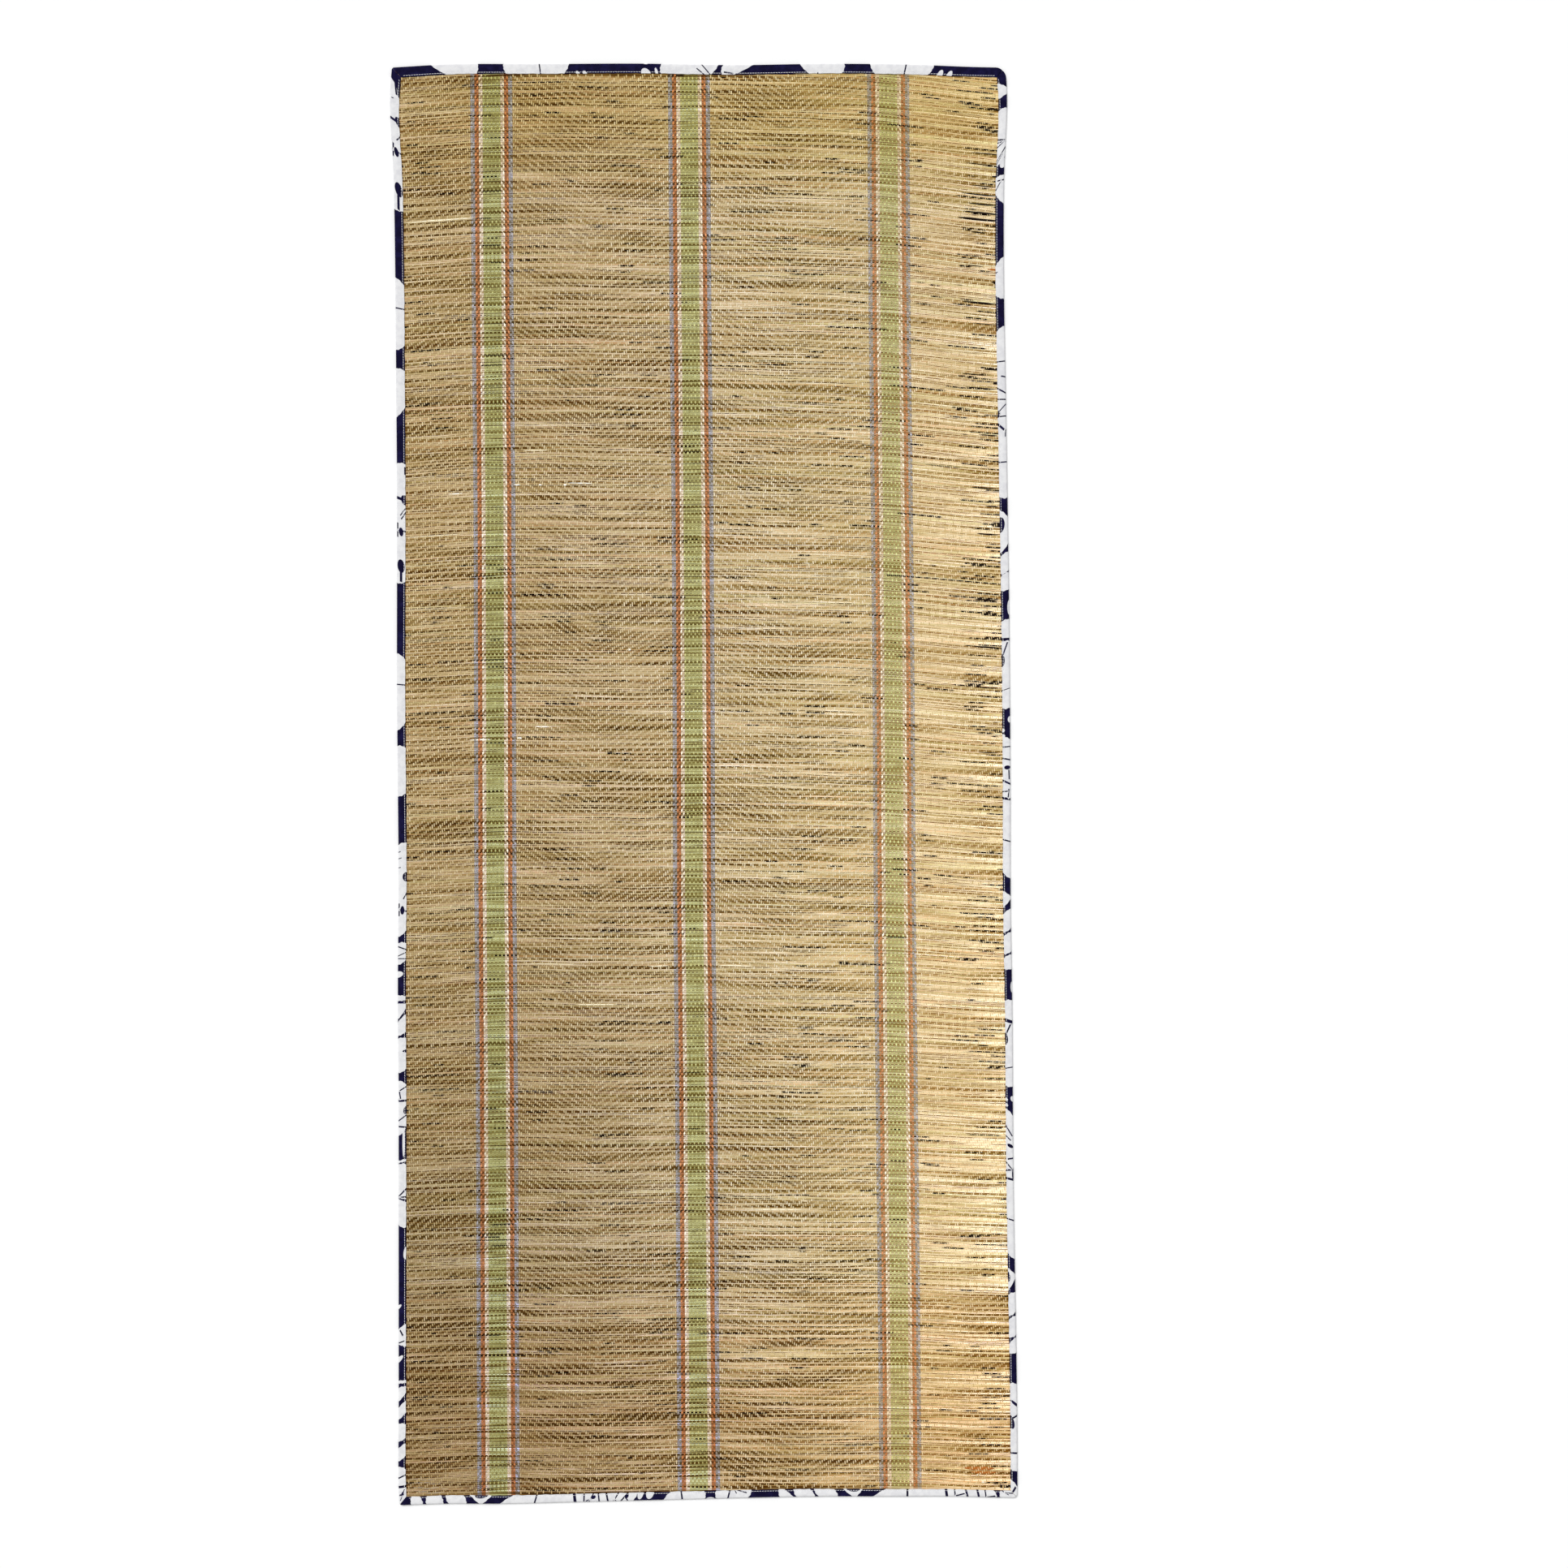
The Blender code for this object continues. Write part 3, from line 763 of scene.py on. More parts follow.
for name, (start, end) in GROUNDS.items():
    homes = np.linspace(start, end, int(round((end - start) / WARP_PITCH)) + 1)
    inner = name.startswith("ground_warps_inner")
    turn_at = len(homes) // 2 if inner else 0  # the warp where the herringbone turns back
    step = (np.abs(np.arange(len(homes)) - turn_at)[:, None] - straw_order[None, :]) % 4
    point_groups, face_groups, yarn_groups = [], [], []
    for top, begins in ((True, step == 1), (False, step == 3)):
        places, half, warp = floats(homes, begins)
        count = len(places)
        half_long = half * chance.uniform(0.86, 1.12, count)
        half_wide = chance.uniform(0.00047, 0.00078, count)
        lift = chance.uniform(-0.00012, 0.00008, count)
        low_edge = np.full(count, STITCH_LOW if top else WEAVE_THICK - STITCH_LOW) + (lift if top else -lift)
        ridge = np.full(count, STITCH_HIGH if top else WEAVE_THICK - STITCH_HIGH + 0.0004) + (lift if top else -lift)
        points, faces = thread_bumps(places, half_long, half_wide, chance.normal(0, 0.06, count), low_edge, ridge)
        point_groups.append(points)
        face_groups.append(faces + sum(len(group) for group in point_groups[:-1]))
        shine = chance.uniform(0.74, 1.08, count) * np.where(warp % 4 == 3, 0.88, 1.0)
        to_right = np.clip((places[:, :1] + 0.22) / 0.20, 0, 1)
        colour = GROUND_COTTON_LEFT * (1 - to_right) + GROUND_COTTON * to_right
        golden = np.clip((places[:, :1] - 0.255) / 0.02, 0, 1)
        colour = colour * (1 - golden) + GROUND_COTTON_RIGHT * golden
        colour = colour * tone_over_mat(places[:, 0], places[:, 1]) ** 0.75
        yarn_groups.append(np.repeat(colour * shine[:, None] ** BROWNING, 8, 0))
    yarn = np.concatenate(yarn_groups)
    faces = [np.concatenate(face_groups)]
    piece = make_piece(name, np.concatenate(point_groups), faces, ground_cotton)
    give(piece, "yarn", "FLOAT_COLOR", "POINT", np.column_stack([yarn, np.ones(len(yarn))]))
    lay_out(piece, cells(len(yarn) // 8, 12))


# BAND WARPS
# Three bands of thicker dyed yarn, single threads going over two straws and under two, each the opposite of its
# neighbours: two grey, two rust, two white, nine green, and the first six mirrored.

BAND_YARNS = ("grey",) * 2 + ("rust",) * 2 + ("white",) * 2 + ("green",) * 9
BAND_YARNS += ("white",) * 2 + ("rust",) * 2 + ("grey",) * 2
YARN_COLOURS = {
    "grey": (166, 160, 156),
    "rust": (200, 134, 86),
    "white": (246, 232, 204),
    "green": (168, 166, 104),
}
YARN_HALF_WIDTH = {"grey": 0.00155, "rust": 0.00155, "white": 0.00120, "green": 0.00125}
YARN_COVER = {"grey": 1.5, "rust": 1.45, "white": 1.5, "green": 1.25}
GREEN_BY_BAND = {"left": (178, 176, 114), "middle": (190, 186, 124), "right": (198, 198, 132)}
# Painted highlight and shade on each ridged bump: its two ridge points lighter and its outline points darker.
RIDGE_HIGHLIGHT_AND_SHADE = np.array([0.70] * 4 + [1.38] * 2 + [0.70] * 4)  # of the colour at each point of a ridged bump
YARN_BROWNING = (0.90, 1.00, 1.25)
band_cotton = make_cotton_material("band_cotton", 0.8)
# Six upper faces round the ridge, and two lower ones with corners of their own.
RIDGED_FACES = ((0, 4, 1), (0, 3, 4), (3, 5, 4), (4, 5, 1), (3, 2, 5), (2, 1, 5), (6, 7, 8), (6, 8, 9))


def ridged_bumps(places, half_long, half_wide, slant, low, high):
    """Closed eight-faced bumps of thick yarn: a level diamond with a ridge of two points above it, all leaning by
    slant."""
    turn = np.stack([np.sin(slant), np.cos(slant)], -1)
    ends = half_long[:, None] * turn
    wide = np.stack([half_wide * np.cos(slant), -half_wide * np.sin(slant)], -1)
    ridge = 0.42 * ends
    diamond = [places + ends, places + wide, places - ends, places - wide]
    flat = np.stack(diamond + [places + ridge, places - ridge] + diamond, 1)
    up = np.stack([low] * 4 + [high] * 2 + [low] * 4, -1)
    points = np.concatenate([flat, up[:, :, None]], -1).reshape(-1, 3)
    faces = np.array(RIDGED_FACES)
    return points, (faces[None] + 10 * np.arange(len(places))[:, None, None]).reshape(-1, 3)


for band, (middle, _) in BANDS.items():
    count = len(BAND_YARNS)
    homes = middle + (np.arange(count) - (count - 1) / 2) * BAND_WIDTH / count
    step = (2 * (np.arange(count) % 2)[:, None] - straw_order[None, :]) % 4
    point_groups, face_groups, yarn_groups = [], [], []
    for top, begins in ((True, step == 0), (False, step == 2)):
        places, half, warp = floats(homes, begins)
        half = half * (np.array([YARN_COVER[kind] for kind in BAND_YARNS])[warp] if top else 1.1)
        kinds = np.array(BAND_YARNS)[warp]
        half_wide = np.array([YARN_HALF_WIDTH[kind] for kind in BAND_YARNS])[warp] * chance.uniform(0.88, 1.08, len(warp))
        side = np.where(warp < count // 2, 1.0, -1.0)
        slant = side * np.where(kinds == "green", 0.10, 0.24) + chance.normal(0, 0.07, len(warp))
        bumps = ridged_bumps if top else thread_bumps
        low_edge = np.full(len(warp), STITCH_LOW if top else WEAVE_THICK - STITCH_LOW)
        ridge = np.full(len(warp), 0.0030 if top else 0.0)
        points, faces = bumps(places, half, half_wide, slant, low_edge, ridge)
        point_groups.append(points)
        face_groups.append(faces + sum(len(group) for group in point_groups[:-1]))
        colours = dict(YARN_COLOURS, green=GREEN_BY_BAND[band])
        colour = np.array([linear(*colours[kind])[:3] for kind in BAND_YARNS])[warp]
        shine = chance.uniform(0.62, 1.16, len(warp)) * np.where(warp % 2 == 0, 1.06, 0.82)
        colour = colour * tone_over_mat(places[:, 0], places[:, 1]) ** 0.85
        # Each upper bump carries a painted highlight on its ridge and painted shade round its outline. Each under bump
        # gets one even share of its colour.
        tone_and_ridge_highlight = shine[:, None] * (RIDGE_HIGHLIGHT_AND_SHADE if top else np.full(8, 0.9))
        tone_and_ridge_highlight = tone_and_ridge_highlight[:, :, None] ** YARN_BROWNING
        yarn_groups.append((colour[:, None] * tone_and_ridge_highlight).reshape(-1, 3))
    name = f"band_warps_{band}"
    yarn = np.concatenate(yarn_groups)
    tops = len(yarn_groups[0]) // 10
    unders = len(yarn_groups[1]) // 8
    faces = [np.concatenate(face_groups)]
    piece = make_piece(name, np.concatenate(point_groups), faces, band_cotton)
    give(piece, "yarn", "FLOAT_COLOR", "POINT", np.column_stack([yarn, np.ones(len(yarn))]))
    upper_map = cells(tops, 24) * [1.0, 0.66]
    under_map = cells(unders, 12) * [1.0, 0.32] + [0.0, 0.67]
    lay_out(piece, np.concatenate([upper_map, under_map]))


# BINDING TAPE
# Navy cotton tape printed with white flowers and leaves, folded in half round the straws' ends on all four
# sides, mitred at the corners and sewn through near its mouth, which puckers it.

TAPE_STEP = 0.0016
TAPE_LEAF = 0.0006
TAPE_HIGH = 0.0030
LEAF_SHARES = np.array([1.0, 0.94, 0.86, 0.76, 0.66, 0.56, 0.46, 0.36, 0.27])
NOSE_STEPS = 6
SEAM_INSET = 0.0018  # from the mouth to the line of sewing

# The print along each side, clockwise from its first corner, in millimetres. All is navy but these: each white
# leaf by where it starts at the tape's outer edge and at its mouth, and where it ends at both.
LEAVES = {
    "top": (
        (48, 58, 107, 97), (139, 135, 221, 209), (337, 333, 408, 397), (414, 411, 452, 427),
        (510, 523, 566, 565), (598, 607, 678, 675),
    ),
    "right": (
        (22, 9, 30, 29), (48, 44, 108, 115), (132, 129, 168, 150), (234, 240, 287, 277), (321, 323, 536, 531),
        (560, 548, 593, 602), (603, 607, 626, 629), (629, 632, 650, 650), (688, 689, 798, 798),
        (838, 835, 1012, 1005), (1034, 1028, 1038, 1050), (1050, 1058, 1074, 1081), (1079, 1086, 1103, 1108),
        (1107, 1113, 1125, 1127), (1165, 1167, 1272, 1274), (1309, 1303, 1488, 1485), (1507, 1504, 1513, 1533),
        (1530, 1538, 1554, 1565), (1559, 1570, 1583, 1592), (1586, 1600, 1605, 1612), (1645, 1650, 1753, 1758),
        (1773, 1771, 1792, 1792),
    ),
    "foot": (
        (-9, -9, 20, 13), (25, 22, 179, 160), (200, 189, 205, 214), (223, 226, 247, 251), (252, 256, 275, 277),
        (279, 289, 296, 296), (336, 331, 375, 376), (390, 391, 441, 434), (480, 477, 646, 635),
        (668, 662, 672, 690), (688, 698, 710, 721), (717, 727, 738, 745), (742, 754, 757, 765),
    ),
    "left": (
        (-9, -9, 47, 35), (54, 52, 70, 68), (79, 75, 101, 92), (106, 107, 121, 122), (129, 132, 146, 140),
        (151.5, 144.5, 155, 148), (200, 193, 219, 219), (350, 341, 425, 421), (427.5, 425, 430, 428),
        (461, 468, 530, 522), (540, 542, 566, 562), (567, 567, 583, 581), (586, 589, 603, 611),
        (607, 618, 626, 626), (630, 629, 637, 634), (675, 680, 702, 701), (710, 717, 825, 828),
        (886, 891, 949, 948), (968, 980, 1065, 1060), (1153, 1158, 1302, 1307), (1360, 1379, 1421, 1425),
        (1444, 1457, 1535, 1533), (1621, 1627, 1786, 1775),
    ),
}
# Small white petals on the navy, then navy ones on the white: the middle along the side, its share of the way
# from the outer edge to the mouth, half its length along the side and half its depth.
WHITE_PETALS = {
    "top": (
        (227, 1, 2.4, 3.4), (236, 1, 2.7, 3.6), (314, 1, 6, 6.4), (328, 0.8, 1.8, 5), (317, 0, 3, 1),
        (690, 1, 3.6, 6.8), (702, 1, 3.4, 6.4), (433, 1, 3, 2),
    ),
    "right": (
        (116, 0, 6, 6), (158, 0, 7, 2.5), (673, 0, 9, 2.2), (813, 0, 4, 3), (826, 1, 2.5, 3), (833, 1, 2.2, 3.4),
        (1148, 0, 7, 1.8), (1288, 0, 3.5, 3), (1291, 1, 2.2, 3), (1298, 1, 2, 3.2),
    ),
    "foot": ((383, 0, 5.4, 2.2), (460, 1, 5, 8.4), (472, 1, 3.8, 8.6)),
    "left": (
        (181, 0, 3.6, 6), (196, 1, 5, 4), (247, 0, 2.4, 4), (309, 1, 8, 3.4), (450, 0.66, 19, 1.5),
        (527, 0.1, 2.6, 3.2), (663, 0, 4, 7),
    ),
}
NAVY_PETALS = {
    "top": ((440, 1, 12, 3), (534, 1, 1, 1.6)),
    "right": (
        (427, 1, 4.4, 2.8), (567, 1, 10, 6), (738, 1, 8, 3.6), (873, 0.4, 2.6, 4), (1215, 1, 7.5, 3.6),
        (1383, 0, 7, 1.8), (1348, 0.4, 2.4, 4), (1515, 1, 6.4, 2.8), (1671, 0.3, 2.2, 6), (1698, 1, 8.4, 5.4),
    ),
    "foot": ((201, 1, 8.6, 3.4), (675, 1, 8.4, 3.8), (531, 0.55, 3, 2.4), (489, 0.6, 2.4, 3.4)),
    "left": (
        (490, 0.95, 5, 3.2), (785, 1, 6, 5), (743, 0.5, 5.5, 2.6), (1176, 0.5, 8.4, 4.6), (1219, 0.5, 5.5, 2.8),
        (1261, 1, 6.4, 5.6), (1650, 0.55, 8.6, 5), (1697, 0.5, 5.8, 3), (1739, 1, 6, 5.4), (1783, 1, 13, 3.4),
        (9, 0.5, 2.2, 1.8),
    ),
}
# Navy strokes on the white, such as veins and stems: the place along the side and the share of the way to the
# mouth at both ends, and half the width. One from the outer edge goes on round the fold.
STROKES = {
    "top": (
        (184, 0, 178, 1.2, 0.6), (380, 0.4, 391, 1.2, 0.6), (387, 0, 398, 1.2, 0.6), (414, 0.75, 426, 0.9, 0.8),
        (643, 0, 645, 1.2, 0.7),
    ),
    "right": (
        (88, 0.1, 79, 1.2, 0.8), (88, 0.1, 84, 1.2, 0.7), (88, 0.1, 91, 1.2, 0.7), (97, 0, 111, 1.2, 0.7),
        (103, 0.3, 114, 1.2, 0.6), (136, 0.3, 145, 1, 0.6), (139, 0, 134, 0.8, 0.6), (249, 0.75, 248.5, 1.2, 0.6),
        (365, 0, 360, 1.2, 0.6), (387, 0, 381, 0.55, 0.6), (405, 0, 392, 1.2, 0.6), (413, 0, 407, 1.2, 0.6),
        (418, 0, 425, 1, 0.6), (434, 0, 430, 1, 0.6), (450, 0.25, 437, 1.2, 0.9), (450, 0.1, 459, 0.14, 0.5),
        (491, 0, 487, 1.2, 0.6), (713, 0, 711, 1.2, 1.5), (716, 0.25, 731, 0.85, 0.7), (774, 0, 776, 1.2, 0.4),
        (847, 0, 847, 1.2, 0.6), (864, 0, 861, 1, 0.7), (876, 0.2, 888, 0.15, 0.6), (894, 0, 888, 1.2, 0.9),
        (900, 0.2, 912, 0.3, 0.6), (903, 0.3, 903, 1.1, 0.6), (913, 0, 911, 1.2, 1.2), (966, 0, 963, 1.2, 0.7),
        (1192, 0, 1191, 1.2, 1.7), (1195, 0.25, 1208, 0.85, 0.7), (1248, 0, 1253, 1.2, 0.5),
        (1335, 0.1, 1322, 1.2, 0.7), (1341, 0.3, 1336, 1.2, 0.6), (1361, 0, 1366, 0.8, 0.7),
        (1378, 0, 1369, 1.2, 0.7), (1376, 0, 1382, 1.2, 0.7), (1389, 0, 1391, 1.2, 1.1),
        (1440, 0, 1442, 1.2, 0.7), (1681, 0, 1692, 0.7, 0.6), (1731, 0, 1739, 1.2, 0.7),
        (1775, 0.25, 1785, 0.7, 0.7),
    ),
    "foot": (
        (7, 0.4, 12, 1, 0.7), (0, 0.6, 10, 0.7, 0.6), (25, 0.2, 37, 0, 0.7), (38, 0, 32, 1.2, 0.6),
        (47, 0, 42, 1.2, 1), (61, 0, 57, 1.2, 1), (62, 0.45, 76, 0.1, 0.6), (76, 0.1, 71, 1.2, 0.6),
        (87, 0, 82, 1.2, 1.2), (136.5, 0, 131, 1.2, 0.9), (337, 0.65, 351, 1.1, 0.6), (350, 0.6, 353, 1.2, 0.5),
        (361, 0, 358, 1.2, 0.8), (418, 0, 421, 1.2, 0.8), (484, 0, 491, 0.6, 0.6), (495, 0, 487, 1.2, 0.8),
        (504, 0, 500, 1.2, 0.7), (497, 0, 504, 0.3, 0.6), (511, 0, 517, 1.2, 0.8), (522, 0, 527, 1.2, 0.7),
        (535, 0, 532, 1.2, 0.7), (533, 0.4, 541, 0, 0.6), (541, 0, 545, 1.2, 0.7), (552, 0, 558, 1.2, 1.3),
        (603, 0, 605, 1.2, 0.8),
    ),
    "left": (
        (3, 0.2, 12, 0.8, 0.6), (6, 0.7, 11, 0.1, 0.6), (22, 0, 12, 1.2, 0.9), (33, 0, 27, 1.2, 0.7),
        (203, 0, 199, 0.8, 0.6), (207, 0.6, 217, 0.2, 0.6), (384, 0, 373, 1.2, 0.9), (384, 0, 379, 1.2, 0.8),
        (385, 0, 391, 1.2, 0.9), (473, 0, 467, 1.2, 0.7), (480, 0, 484, 1.2, 0.7), (505, 0, 501, 1.2, 1),
        (506, 0.3, 517, 0.1, 0.6), (517, 0.1, 520, 1.2, 0.7), (628, 0, 625, 1.2, 0.8), (683, 0, 681, 1.2, 0.5),
        (686, 0, 690, 1.2, 0.5), (698, 0, 692, 1.2, 0.6), (736, 0.1, 752, 0.1, 0.7), (745, 0, 741, 1.1, 0.8),
        (757, 0.6, 766, 1.1, 0.6), (796, -0.2, 797, 0.3, 0.4), (807, -0.2, 809, 0.4, 0.4),
        (815, -0.2, 817, 0.3, 0.4), (1026, 0, 1028, 1.2, 0.6), (1156, 0.5, 1170, 0.5, 1.2),
        (1211, 0.1, 1229, 0.1, 0.7), (1219, 0, 1222, 1.1, 0.8), (1235, 0.5, 1248, 1.1, 0.6),
        (1239, 0.4, 1251, 1, 0.5), (1260, 0, 1261, 1.2, 1.4), (1293, 0.95, 1303, 0.95, 0.8),
        (1497, 0, 1504, 1.2, 0.6), (1624, 0.5, 1642, 0.5, 1.2), (1688, 0.1, 1706, 0.2, 0.7),
        (1696, 0, 1700, 1.1, 0.8), (1713, 0.6, 1723, 1.1, 0.5), (1736, 0, 1739, 1.2, 1.3),
        (1762, 0.15, 1764, 0.4, 0.4), (1771, 0.7, 1790, 0.4, 0.9),
    ),
}


def print_ink(side, along, across, width):
    """How far each point lies inside the navy of the print, in millimetres, below zero in the white: outside
    each leaf, whose two ends run straight but for an arc and a ripple, then inside or outside each petal, an
    ellipse of half sizes a and b, by (|p| - 1) sqrt(a b)."""
    depth = np.full(along.shape, 50.0)
    share = across / width
    arc = np.sin(np.pi * share)
    for number, (start, start_mouth, end, end_mouth) in enumerate(LEAVES[side]):
        bulge = min(0.05 * (end - start), 1.4)
        head = start + (start_mouth - start) * share - bulge * arc + 0.35 * np.sin(1.3 * across + 2.1 * number)
        tail = end + (end_mouth - end) * share + bulge * arc + 0.35 * np.sin(1.1 * across + number)
        depth = np.minimum(depth, np.maximum(head - along, along - tail))
    for table, way in ((WHITE_PETALS, 1), (NAVY_PETALS, -1)):
        for middle, place, half, deep in table[side]:
            reach = np.hypot((along - middle) / half, (across - place * width) / deep)
            outside = (reach - 1) * np.sqrt(half * deep)
            depth = way * np.minimum(way * depth, outside)
    return depth


def print_strokes(side, along, across, width):
    """The stroke nearest to each point: ten times its number plus the signed distance to its line, which runs on
    evenly over any face that a line crosses, how far the point is inside its ends, and half its width."""
    strokes = sorted(STROKES[side], key=lambda stroke: stroke[0] + stroke[2])
    nearest = np.full(along.shape, 1e3)
    found = np.zeros(along.shape + (3,))
    for number, (start, start_share, end, end_share, half) in enumerate(strokes, 1):
        if start_share == 0:
            start_share = -1.2
            start = start - (end - start)
        rise = np.where(width > 0, width, 1) * (end_share - start_share)
        length = np.hypot(end - start, rise)
        over, up = along - start, across - start_share * width
        way = (over * (end - start) + up * rise) / length
        aside = (over * rise - up * (end - start)) / length
        inside = np.minimum(way, length - way)
        far = np.hypot(np.maximum(-inside, 0), aside) - half
        closer = far < nearest
        nearest = np.where(closer, far, nearest)
        inside = np.minimum(inside, 1.2 - far)
        values = np.stack([10 * number + np.clip(aside, -4, 4), inside, np.full(along.shape, 1.3 * half)], -1)
        found = np.where(closer[..., None], values, found)
    return found


def make_tape_material():
    """Matt cotton: navy where the print's ink is above zero or within half a stroke's width of its line, white
    elsewhere, in a fine plain weave whose threads show in the ink's edge. Navy is rubbed paler in places."""
    material = bpy.data.materials.new("printed_cotton")
    material.use_nodes = True
    tree = material.node_tree
    where = add_node(tree, "TexCoord").outputs["Object"]
    ground = add_node(tree, "Attribute", attribute_name="ink").outputs["Fac"]
    stroke = add_node(tree, "Attribute", attribute_name="stroke").outputs["Vector"]
    line, inside, half = add_node(tree, "SeparateXYZ", (0, stroke)).outputs
    phase = maths(tree, "FRACT", maths(tree, "MULTIPLY_ADD", line, 0.1, 0.5))
    aside = maths(tree, "MULTIPLY", maths(tree, "ABSOLUTE", maths(tree, "SUBTRACT", phase, 0.5)), 10.0)
    drawn = maths(tree, "MINIMUM", maths(tree, "SUBTRACT", half, aside), inside)
    ink = maths(tree, "MAXIMUM", ground, drawn)
    rub = streaks(tree, where, (160.0, 160.0, 160.0), (0.0, 0.0, 0.0), 3.0)
    weave = streaks(tree, where, (1500.0, 1500.0, 1500.0), (0.0, 0.0, 0.0), 1.0)
    edge = maths(tree, "MULTIPLY_ADD", weave, 0.5, maths(tree, "SUBTRACT", ink, 0.25))
    inked = ramp(tree, edge, -0.22, 0.22)
    navy = mix_colours(tree, ramp(tree, rub, 0.35, 0.75), linear(15, 12, 40), linear(25, 22, 60))
    white = mix_colours(tree, ramp(tree, rub, 0.35, 0.7), linear(222, 222, 223), linear(210, 210, 213))
    colour = mix_colours(tree, inked, white, navy)
    bump = add_node(tree, "Bump", ("Height", weave), ("Strength", 0.35), ("Distance", 0.0002))
    shader = tree.nodes["Principled BSDF"]
    tree.links.new(colour, shader.inputs["Base Color"])
    tree.links.new(bump.outputs[0], shader.inputs["Normal"])
    shader.inputs["Roughness"].default_value = 0.88
    shader.inputs["Specular IOR Level"].default_value = 0.05
    return material


printed_cotton = make_tape_material()
nose_turn = np.linspace(0, np.pi, NOSE_STEPS + 1)


def wander(along, waves, size):
    """A smooth random line along a side: sines of the given wave lengths in metres, with chance phases."""
    phases = chance.uniform(0, 2 * np.pi, len(waves))
    return size * sum(np.sin(2 * np.pi * along / wave + phase) for wave, phase in zip(waves, phases)) / len(waves)


tape_seams = []
for side in SIDES:
    outer, mouth = rails(side, TAPE_STEP)
    forward = chord(side)[2]
    for rail in (outer, mouth):
        rail[0] += 0.5 * np.sqrt(2) * GAP * forward
        rail[-1] -= 0.5 * np.sqrt(2) * GAP * forward
    steps = np.linalg.norm(np.diff(outer, axis=0), axis=1)
    along = np.insert(np.cumsum(steps), 0, 0)
    width = np.linspace(*SIDES[side]["tape"], len(outer))[:, None]
    stretch = np.minimum(1, np.minimum(along, along[-1] - along) / 0.02)[:, None]

    # The outer face of the fold: upper leaf, nose and lower leaf, as insets and heights.
    upper = width * LEAF_SHARES
    radius = TAPE_HIGH / 2
    nose = np.broadcast_to(radius * (1 - np.sin(nose_turn)), (len(outer), NOSE_STEPS + 1))
    lower = width * np.array([0.45, 1.0])
    inset = np.concatenate([upper, nose, lower], 1)
    level = np.concatenate(
        [
            np.full(upper.shape, TAPE_HIGH),
            np.broadcast_to(radius + radius * np.cos(nose_turn), nose.shape),
            np.zeros(lower.shape),
        ],
        1,
    )
    # Puckers run in from the sewing, and the leaf is drawn down along it and puffs up beyond.
    from_seam = np.abs(inset[:, : len(LEAF_SHARES)] - (width - SEAM_INSET))
    pucker = wander(along[:, None] + 0.6 * upper, (0.0061, 0.0083, 0.0127), 0.00022) * np.exp(-from_seam / 0.0035)
    drawn = -0.00028 * np.exp(-((from_seam / 0.0008) ** 2))
    puff = 0.00018 * np.sin(np.pi * np.clip(upper / (width - SEAM_INSET), 0, 1)) * (1 + wander(along, (0.031, 0.047), 0.7))[:, None]
    level[:, : len(LEAF_SHARES)] += stretch * (pucker + drawn + puff)
    mouth_waver = stretch[:, 0] * wander(along, (0.012, 0.019, 0.043), 0.00035)
    inset[:, 0] += mouth_waver
    inset[:, 1] += 0.6 * mouth_waver

    # The inner face of the fold, back from the lower mouth.
    inner_radius = radius - TAPE_LEAF
    inner_inset = np.concatenate([width, width * 0.25, width * 0.25, width], 1)
    inner_level = np.broadcast_to([TAPE_LEAF, TAPE_LEAF, TAPE_HIGH - TAPE_LEAF, TAPE_HIGH - TAPE_LEAF], inner_inset.shape).copy()
    inner_inset[:, 3] += mouth_waver
    inset = np.concatenate([inset, inner_inset], 1)
    level = np.concatenate([level, inner_level], 1)

    share = inset / width
    flat = outer[:, None] + (mouth - outer)[:, None] * share[:, :, None]
    points = np.concatenate([flat, level[:, :, None]], -1)
    around = inset.shape[1]
    row, spoke = np.meshgrid(np.arange(len(outer) - 1), np.arange(around), indexing="ij")
    ahead = (spoke + 1) % around
    faces = np.stack([row * around + spoke, row * around + ahead, (row + 1) * around + ahead, (row + 1) * around + spoke], -1)
    half = len(LEAF_SHARES) + NOSE_STEPS + 3
    ladder_a = np.arange(0, len(LEAF_SHARES) + 3)
    end_faces = []
    outline = np.arange(around)
    end_faces = np.stack([outline[::-1], outline + (len(outer) - 1) * around])
    piece = make_piece(f"tape_{side}", points.reshape(-1, 3), [faces.reshape(-1, 4), end_faces], printed_cotton)

    face_distance = np.where(np.arange(around) < half, inset, width * 1.0) * 1000
    lower_start = len(LEAF_SHARES) + NOSE_STEPS // 2
    face_distance[:, lower_start:half] = -inset[:, lower_start:half] * 1000
    ink = print_ink(side, np.broadcast_to(along[:, None] * 1000, inset.shape), face_distance, width * 1000)
    give(piece, "ink", "FLOAT", "POINT", ink.ravel())
    strokes = print_strokes(side, np.broadcast_to(along[:, None] * 1000, inset.shape), face_distance, width * 1000)
    give(piece, "stroke", "FLOAT_VECTOR", "POINT", strokes.reshape(-1, 3))
    corner_points = np.concatenate([faces.ravel(), end_faces.ravel()])
    round_place = np.linspace(0, 1, around)
    wrapped = np.stack([spoke, spoke + 1, spoke + 1, spoke], -1).reshape(-1) / around
    ends_round = np.concatenate([outline[::-1], outline]) / around
    along_place = (along / along[-1])[corner_points // around]
    bands_in_map = 8
    across_place = np.concatenate([wrapped, ends_round])
    column = np.minimum((along_place * bands_in_map).astype(int), bands_in_map - 1)
    first_of_face = np.concatenate([np.repeat(column[: faces.size : 4], 4), column[faces.size :]])
    map_u = along_place * bands_in_map - first_of_face
    lay_out(piece, np.column_stack([0.02 + 0.96 * map_u, (first_of_face + 0.03 + 0.94 * across_place) / bands_in_map]))
    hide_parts(f"binding_{side}")
    tape_seams.append((side, outer, mouth, along, width[:, 0]))


# SEWING THREAD
# White cotton thread in a straight line of stitches through both leaves of the tape, just inside its mouth.

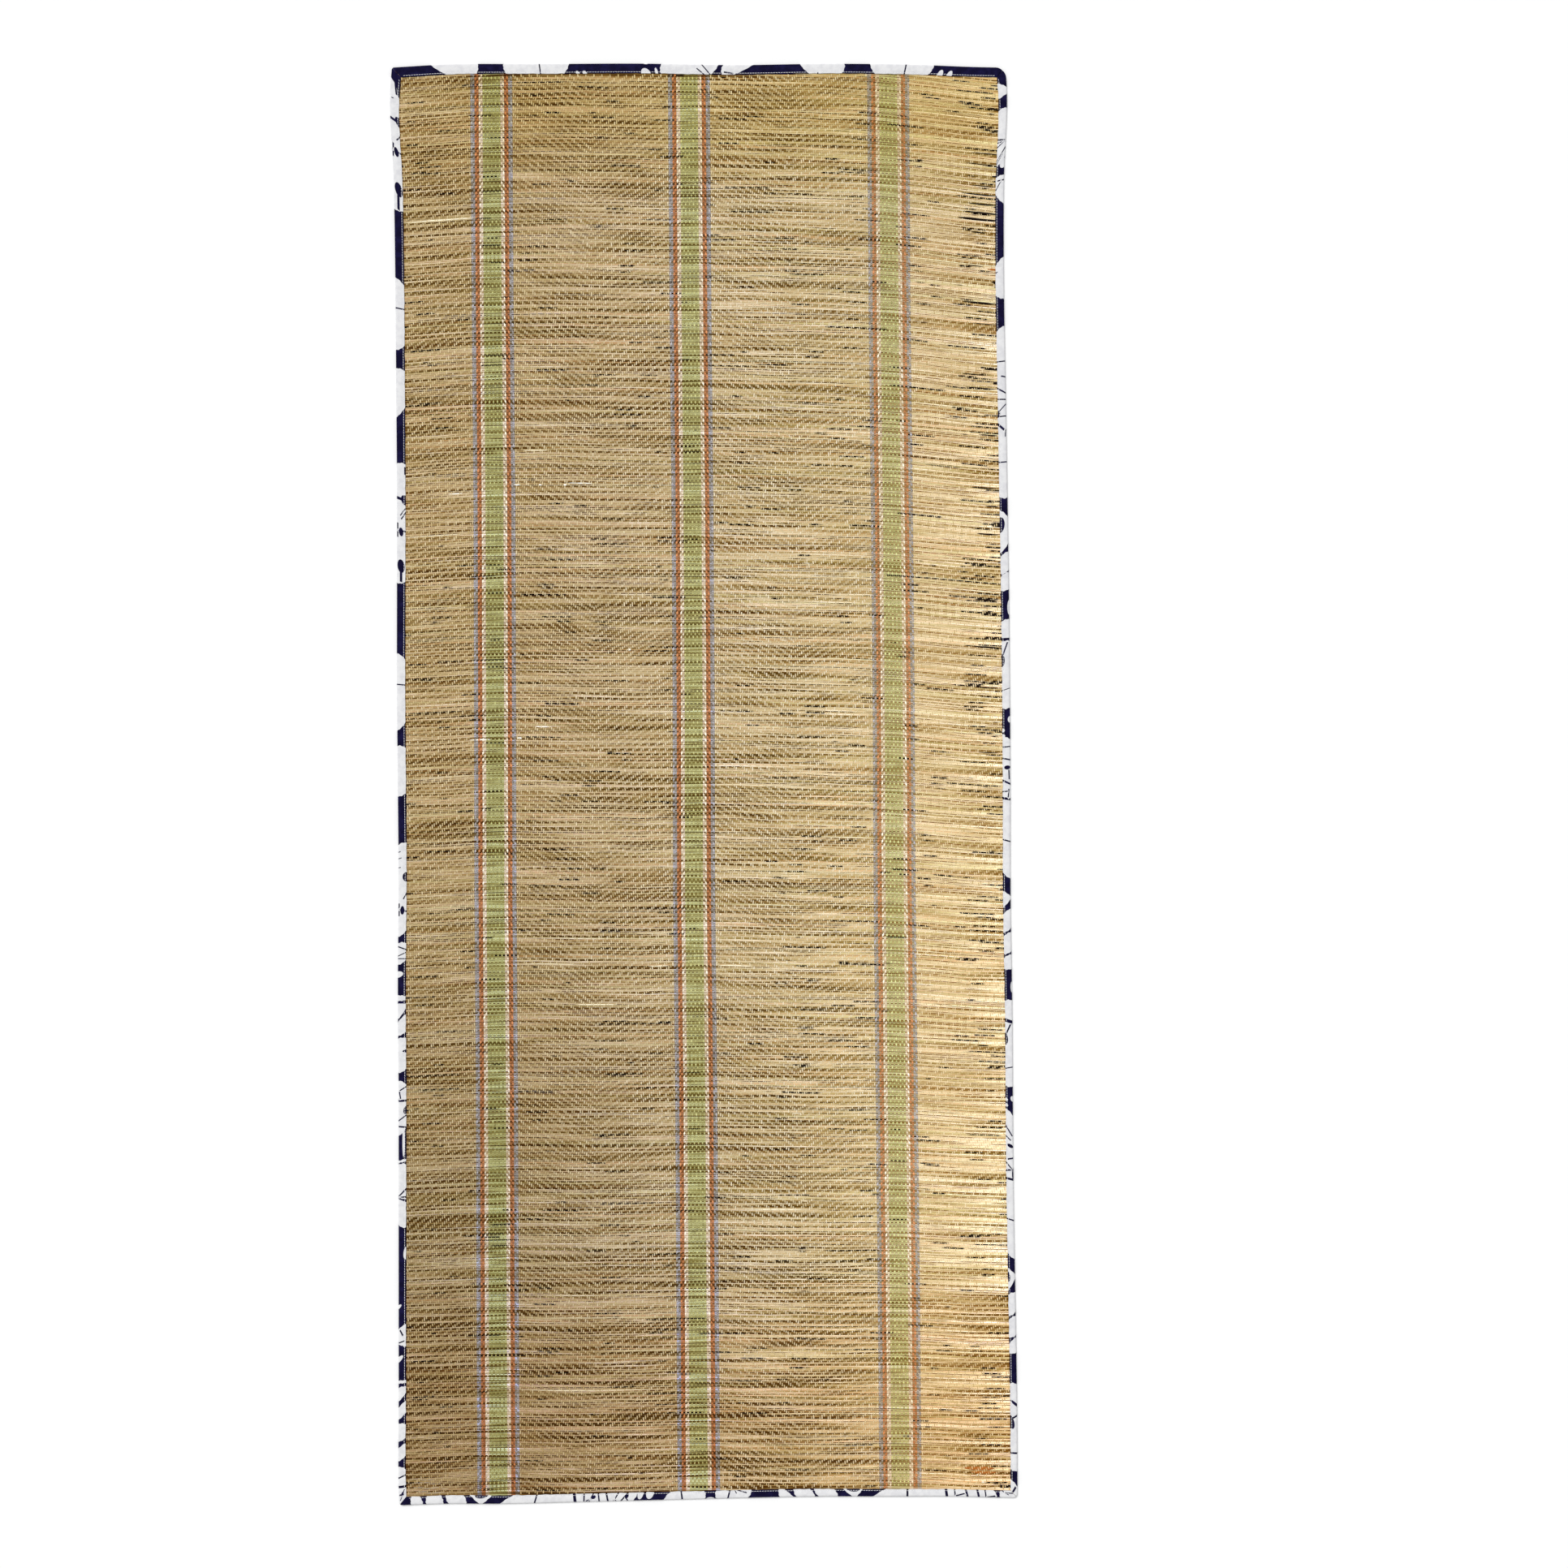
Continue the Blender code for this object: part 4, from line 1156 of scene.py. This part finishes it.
STITCH_PITCH = 0.0033
STITCH_HALF = 0.00125
sewing_cotton = make_cotton_material("sewing_cotton", 0.3)
stitch_points, stitch_faces = [], []
for side, outer, mouth, along, width in tape_seams:
    spots = np.arange(0.006, along[-1] - 0.006, STITCH_PITCH)
    seam_share = 1 - SEAM_INSET / width
    line = outer + (mouth - outer) * seam_share[:, None]
    places = np.column_stack([np.interp(spots, along, line[:, axis]) for axis in (0, 1)])
    heading = chord(side)[2]
    slant = np.full(len(spots), np.arctan2(heading[0], heading[1])) + chance.normal(0, 0.05, len(spots))
    for low, high in ((0.00275, 0.00312), (0.0002, -0.0001)):
        full = np.full(len(spots), 1.0)
        points, faces = thread_bumps(places, full * STITCH_HALF, full * 0.00024, slant, full * low, full * high)
        stitch_faces.append(faces + sum(len(group) for group in stitch_points))
        stitch_points.append(points)
points = np.concatenate(stitch_points)
piece = make_piece("sewing_thread", points, [np.concatenate(stitch_faces)], sewing_cotton)
thread_white = linear(236, 236, 238)
give(piece, "yarn", "FLOAT_COLOR", "POINT", np.tile(thread_white, (len(points), 1)))
lay_out(piece, cells(len(points) // 8, 12))


# STUDIO
# A plain white floor, even light all round and one broad soft lamp, and a camera straight above, turned and set
# off to the left of the frame as in the photograph.

VIEW_TURN = np.radians(0.405)
VIEW_HIGH = 3.2
VIEW_WIDE = 1.961  # of the frame, at the mat
view_spot = np.array([0.10125, 0.0003]) - MIDDLE

floor_mesh = bpy.data.meshes.new("floor")
floor_mesh.from_pydata([(-6, -6, -0.0004), (6, -6, -0.0004), (6, 6, -0.0004), (-6, 6, -0.0004)], [], [(0, 1, 2, 3)])
floor = bpy.data.objects.new("floor", floor_mesh)
bpy.context.scene.collection.objects.link(floor)
floor_paint = bpy.data.materials.new("floor_paint")
floor_paint.use_nodes = True
floor_paint.node_tree.nodes["Principled BSDF"].inputs["Base Color"].default_value = (0.90, 0.90, 0.90, 1)
floor_paint.node_tree.nodes["Principled BSDF"].inputs["Roughness"].default_value = 0.9
floor_mesh.materials.append(floor_paint)

world = bpy.data.worlds.new("studio")
world.use_nodes = True
world.node_tree.nodes["Background"].inputs["Color"].default_value = (1, 1, 1, 1)
world.node_tree.nodes["Background"].inputs["Strength"].default_value = 0.62
bpy.context.scene.world = world

lamp_data = bpy.data.lights.new("soft_lamp", "SUN")
lamp_data.angle = np.radians(28)
lamp_data.energy = 2.1
lamp = bpy.data.objects.new("soft_lamp", lamp_data)
lamp.rotation_euler = (np.radians(-33), np.radians(-24), 0)
bpy.context.scene.collection.objects.link(lamp)

camera_data = bpy.data.cameras.new("camera")
camera_data.sensor_width = 36
camera_data.lens = 36 * (VIEW_HIGH - 0.0025) / VIEW_WIDE
camera = bpy.data.objects.new("camera", camera_data)
camera.location = (*view_spot, VIEW_HIGH)
camera.rotation_euler = (0, 0, -VIEW_TURN)
bpy.context.scene.collection.objects.link(camera)
bpy.context.scene.camera = camera
bpy.context.scene.view_settings.view_transform = "Standard"
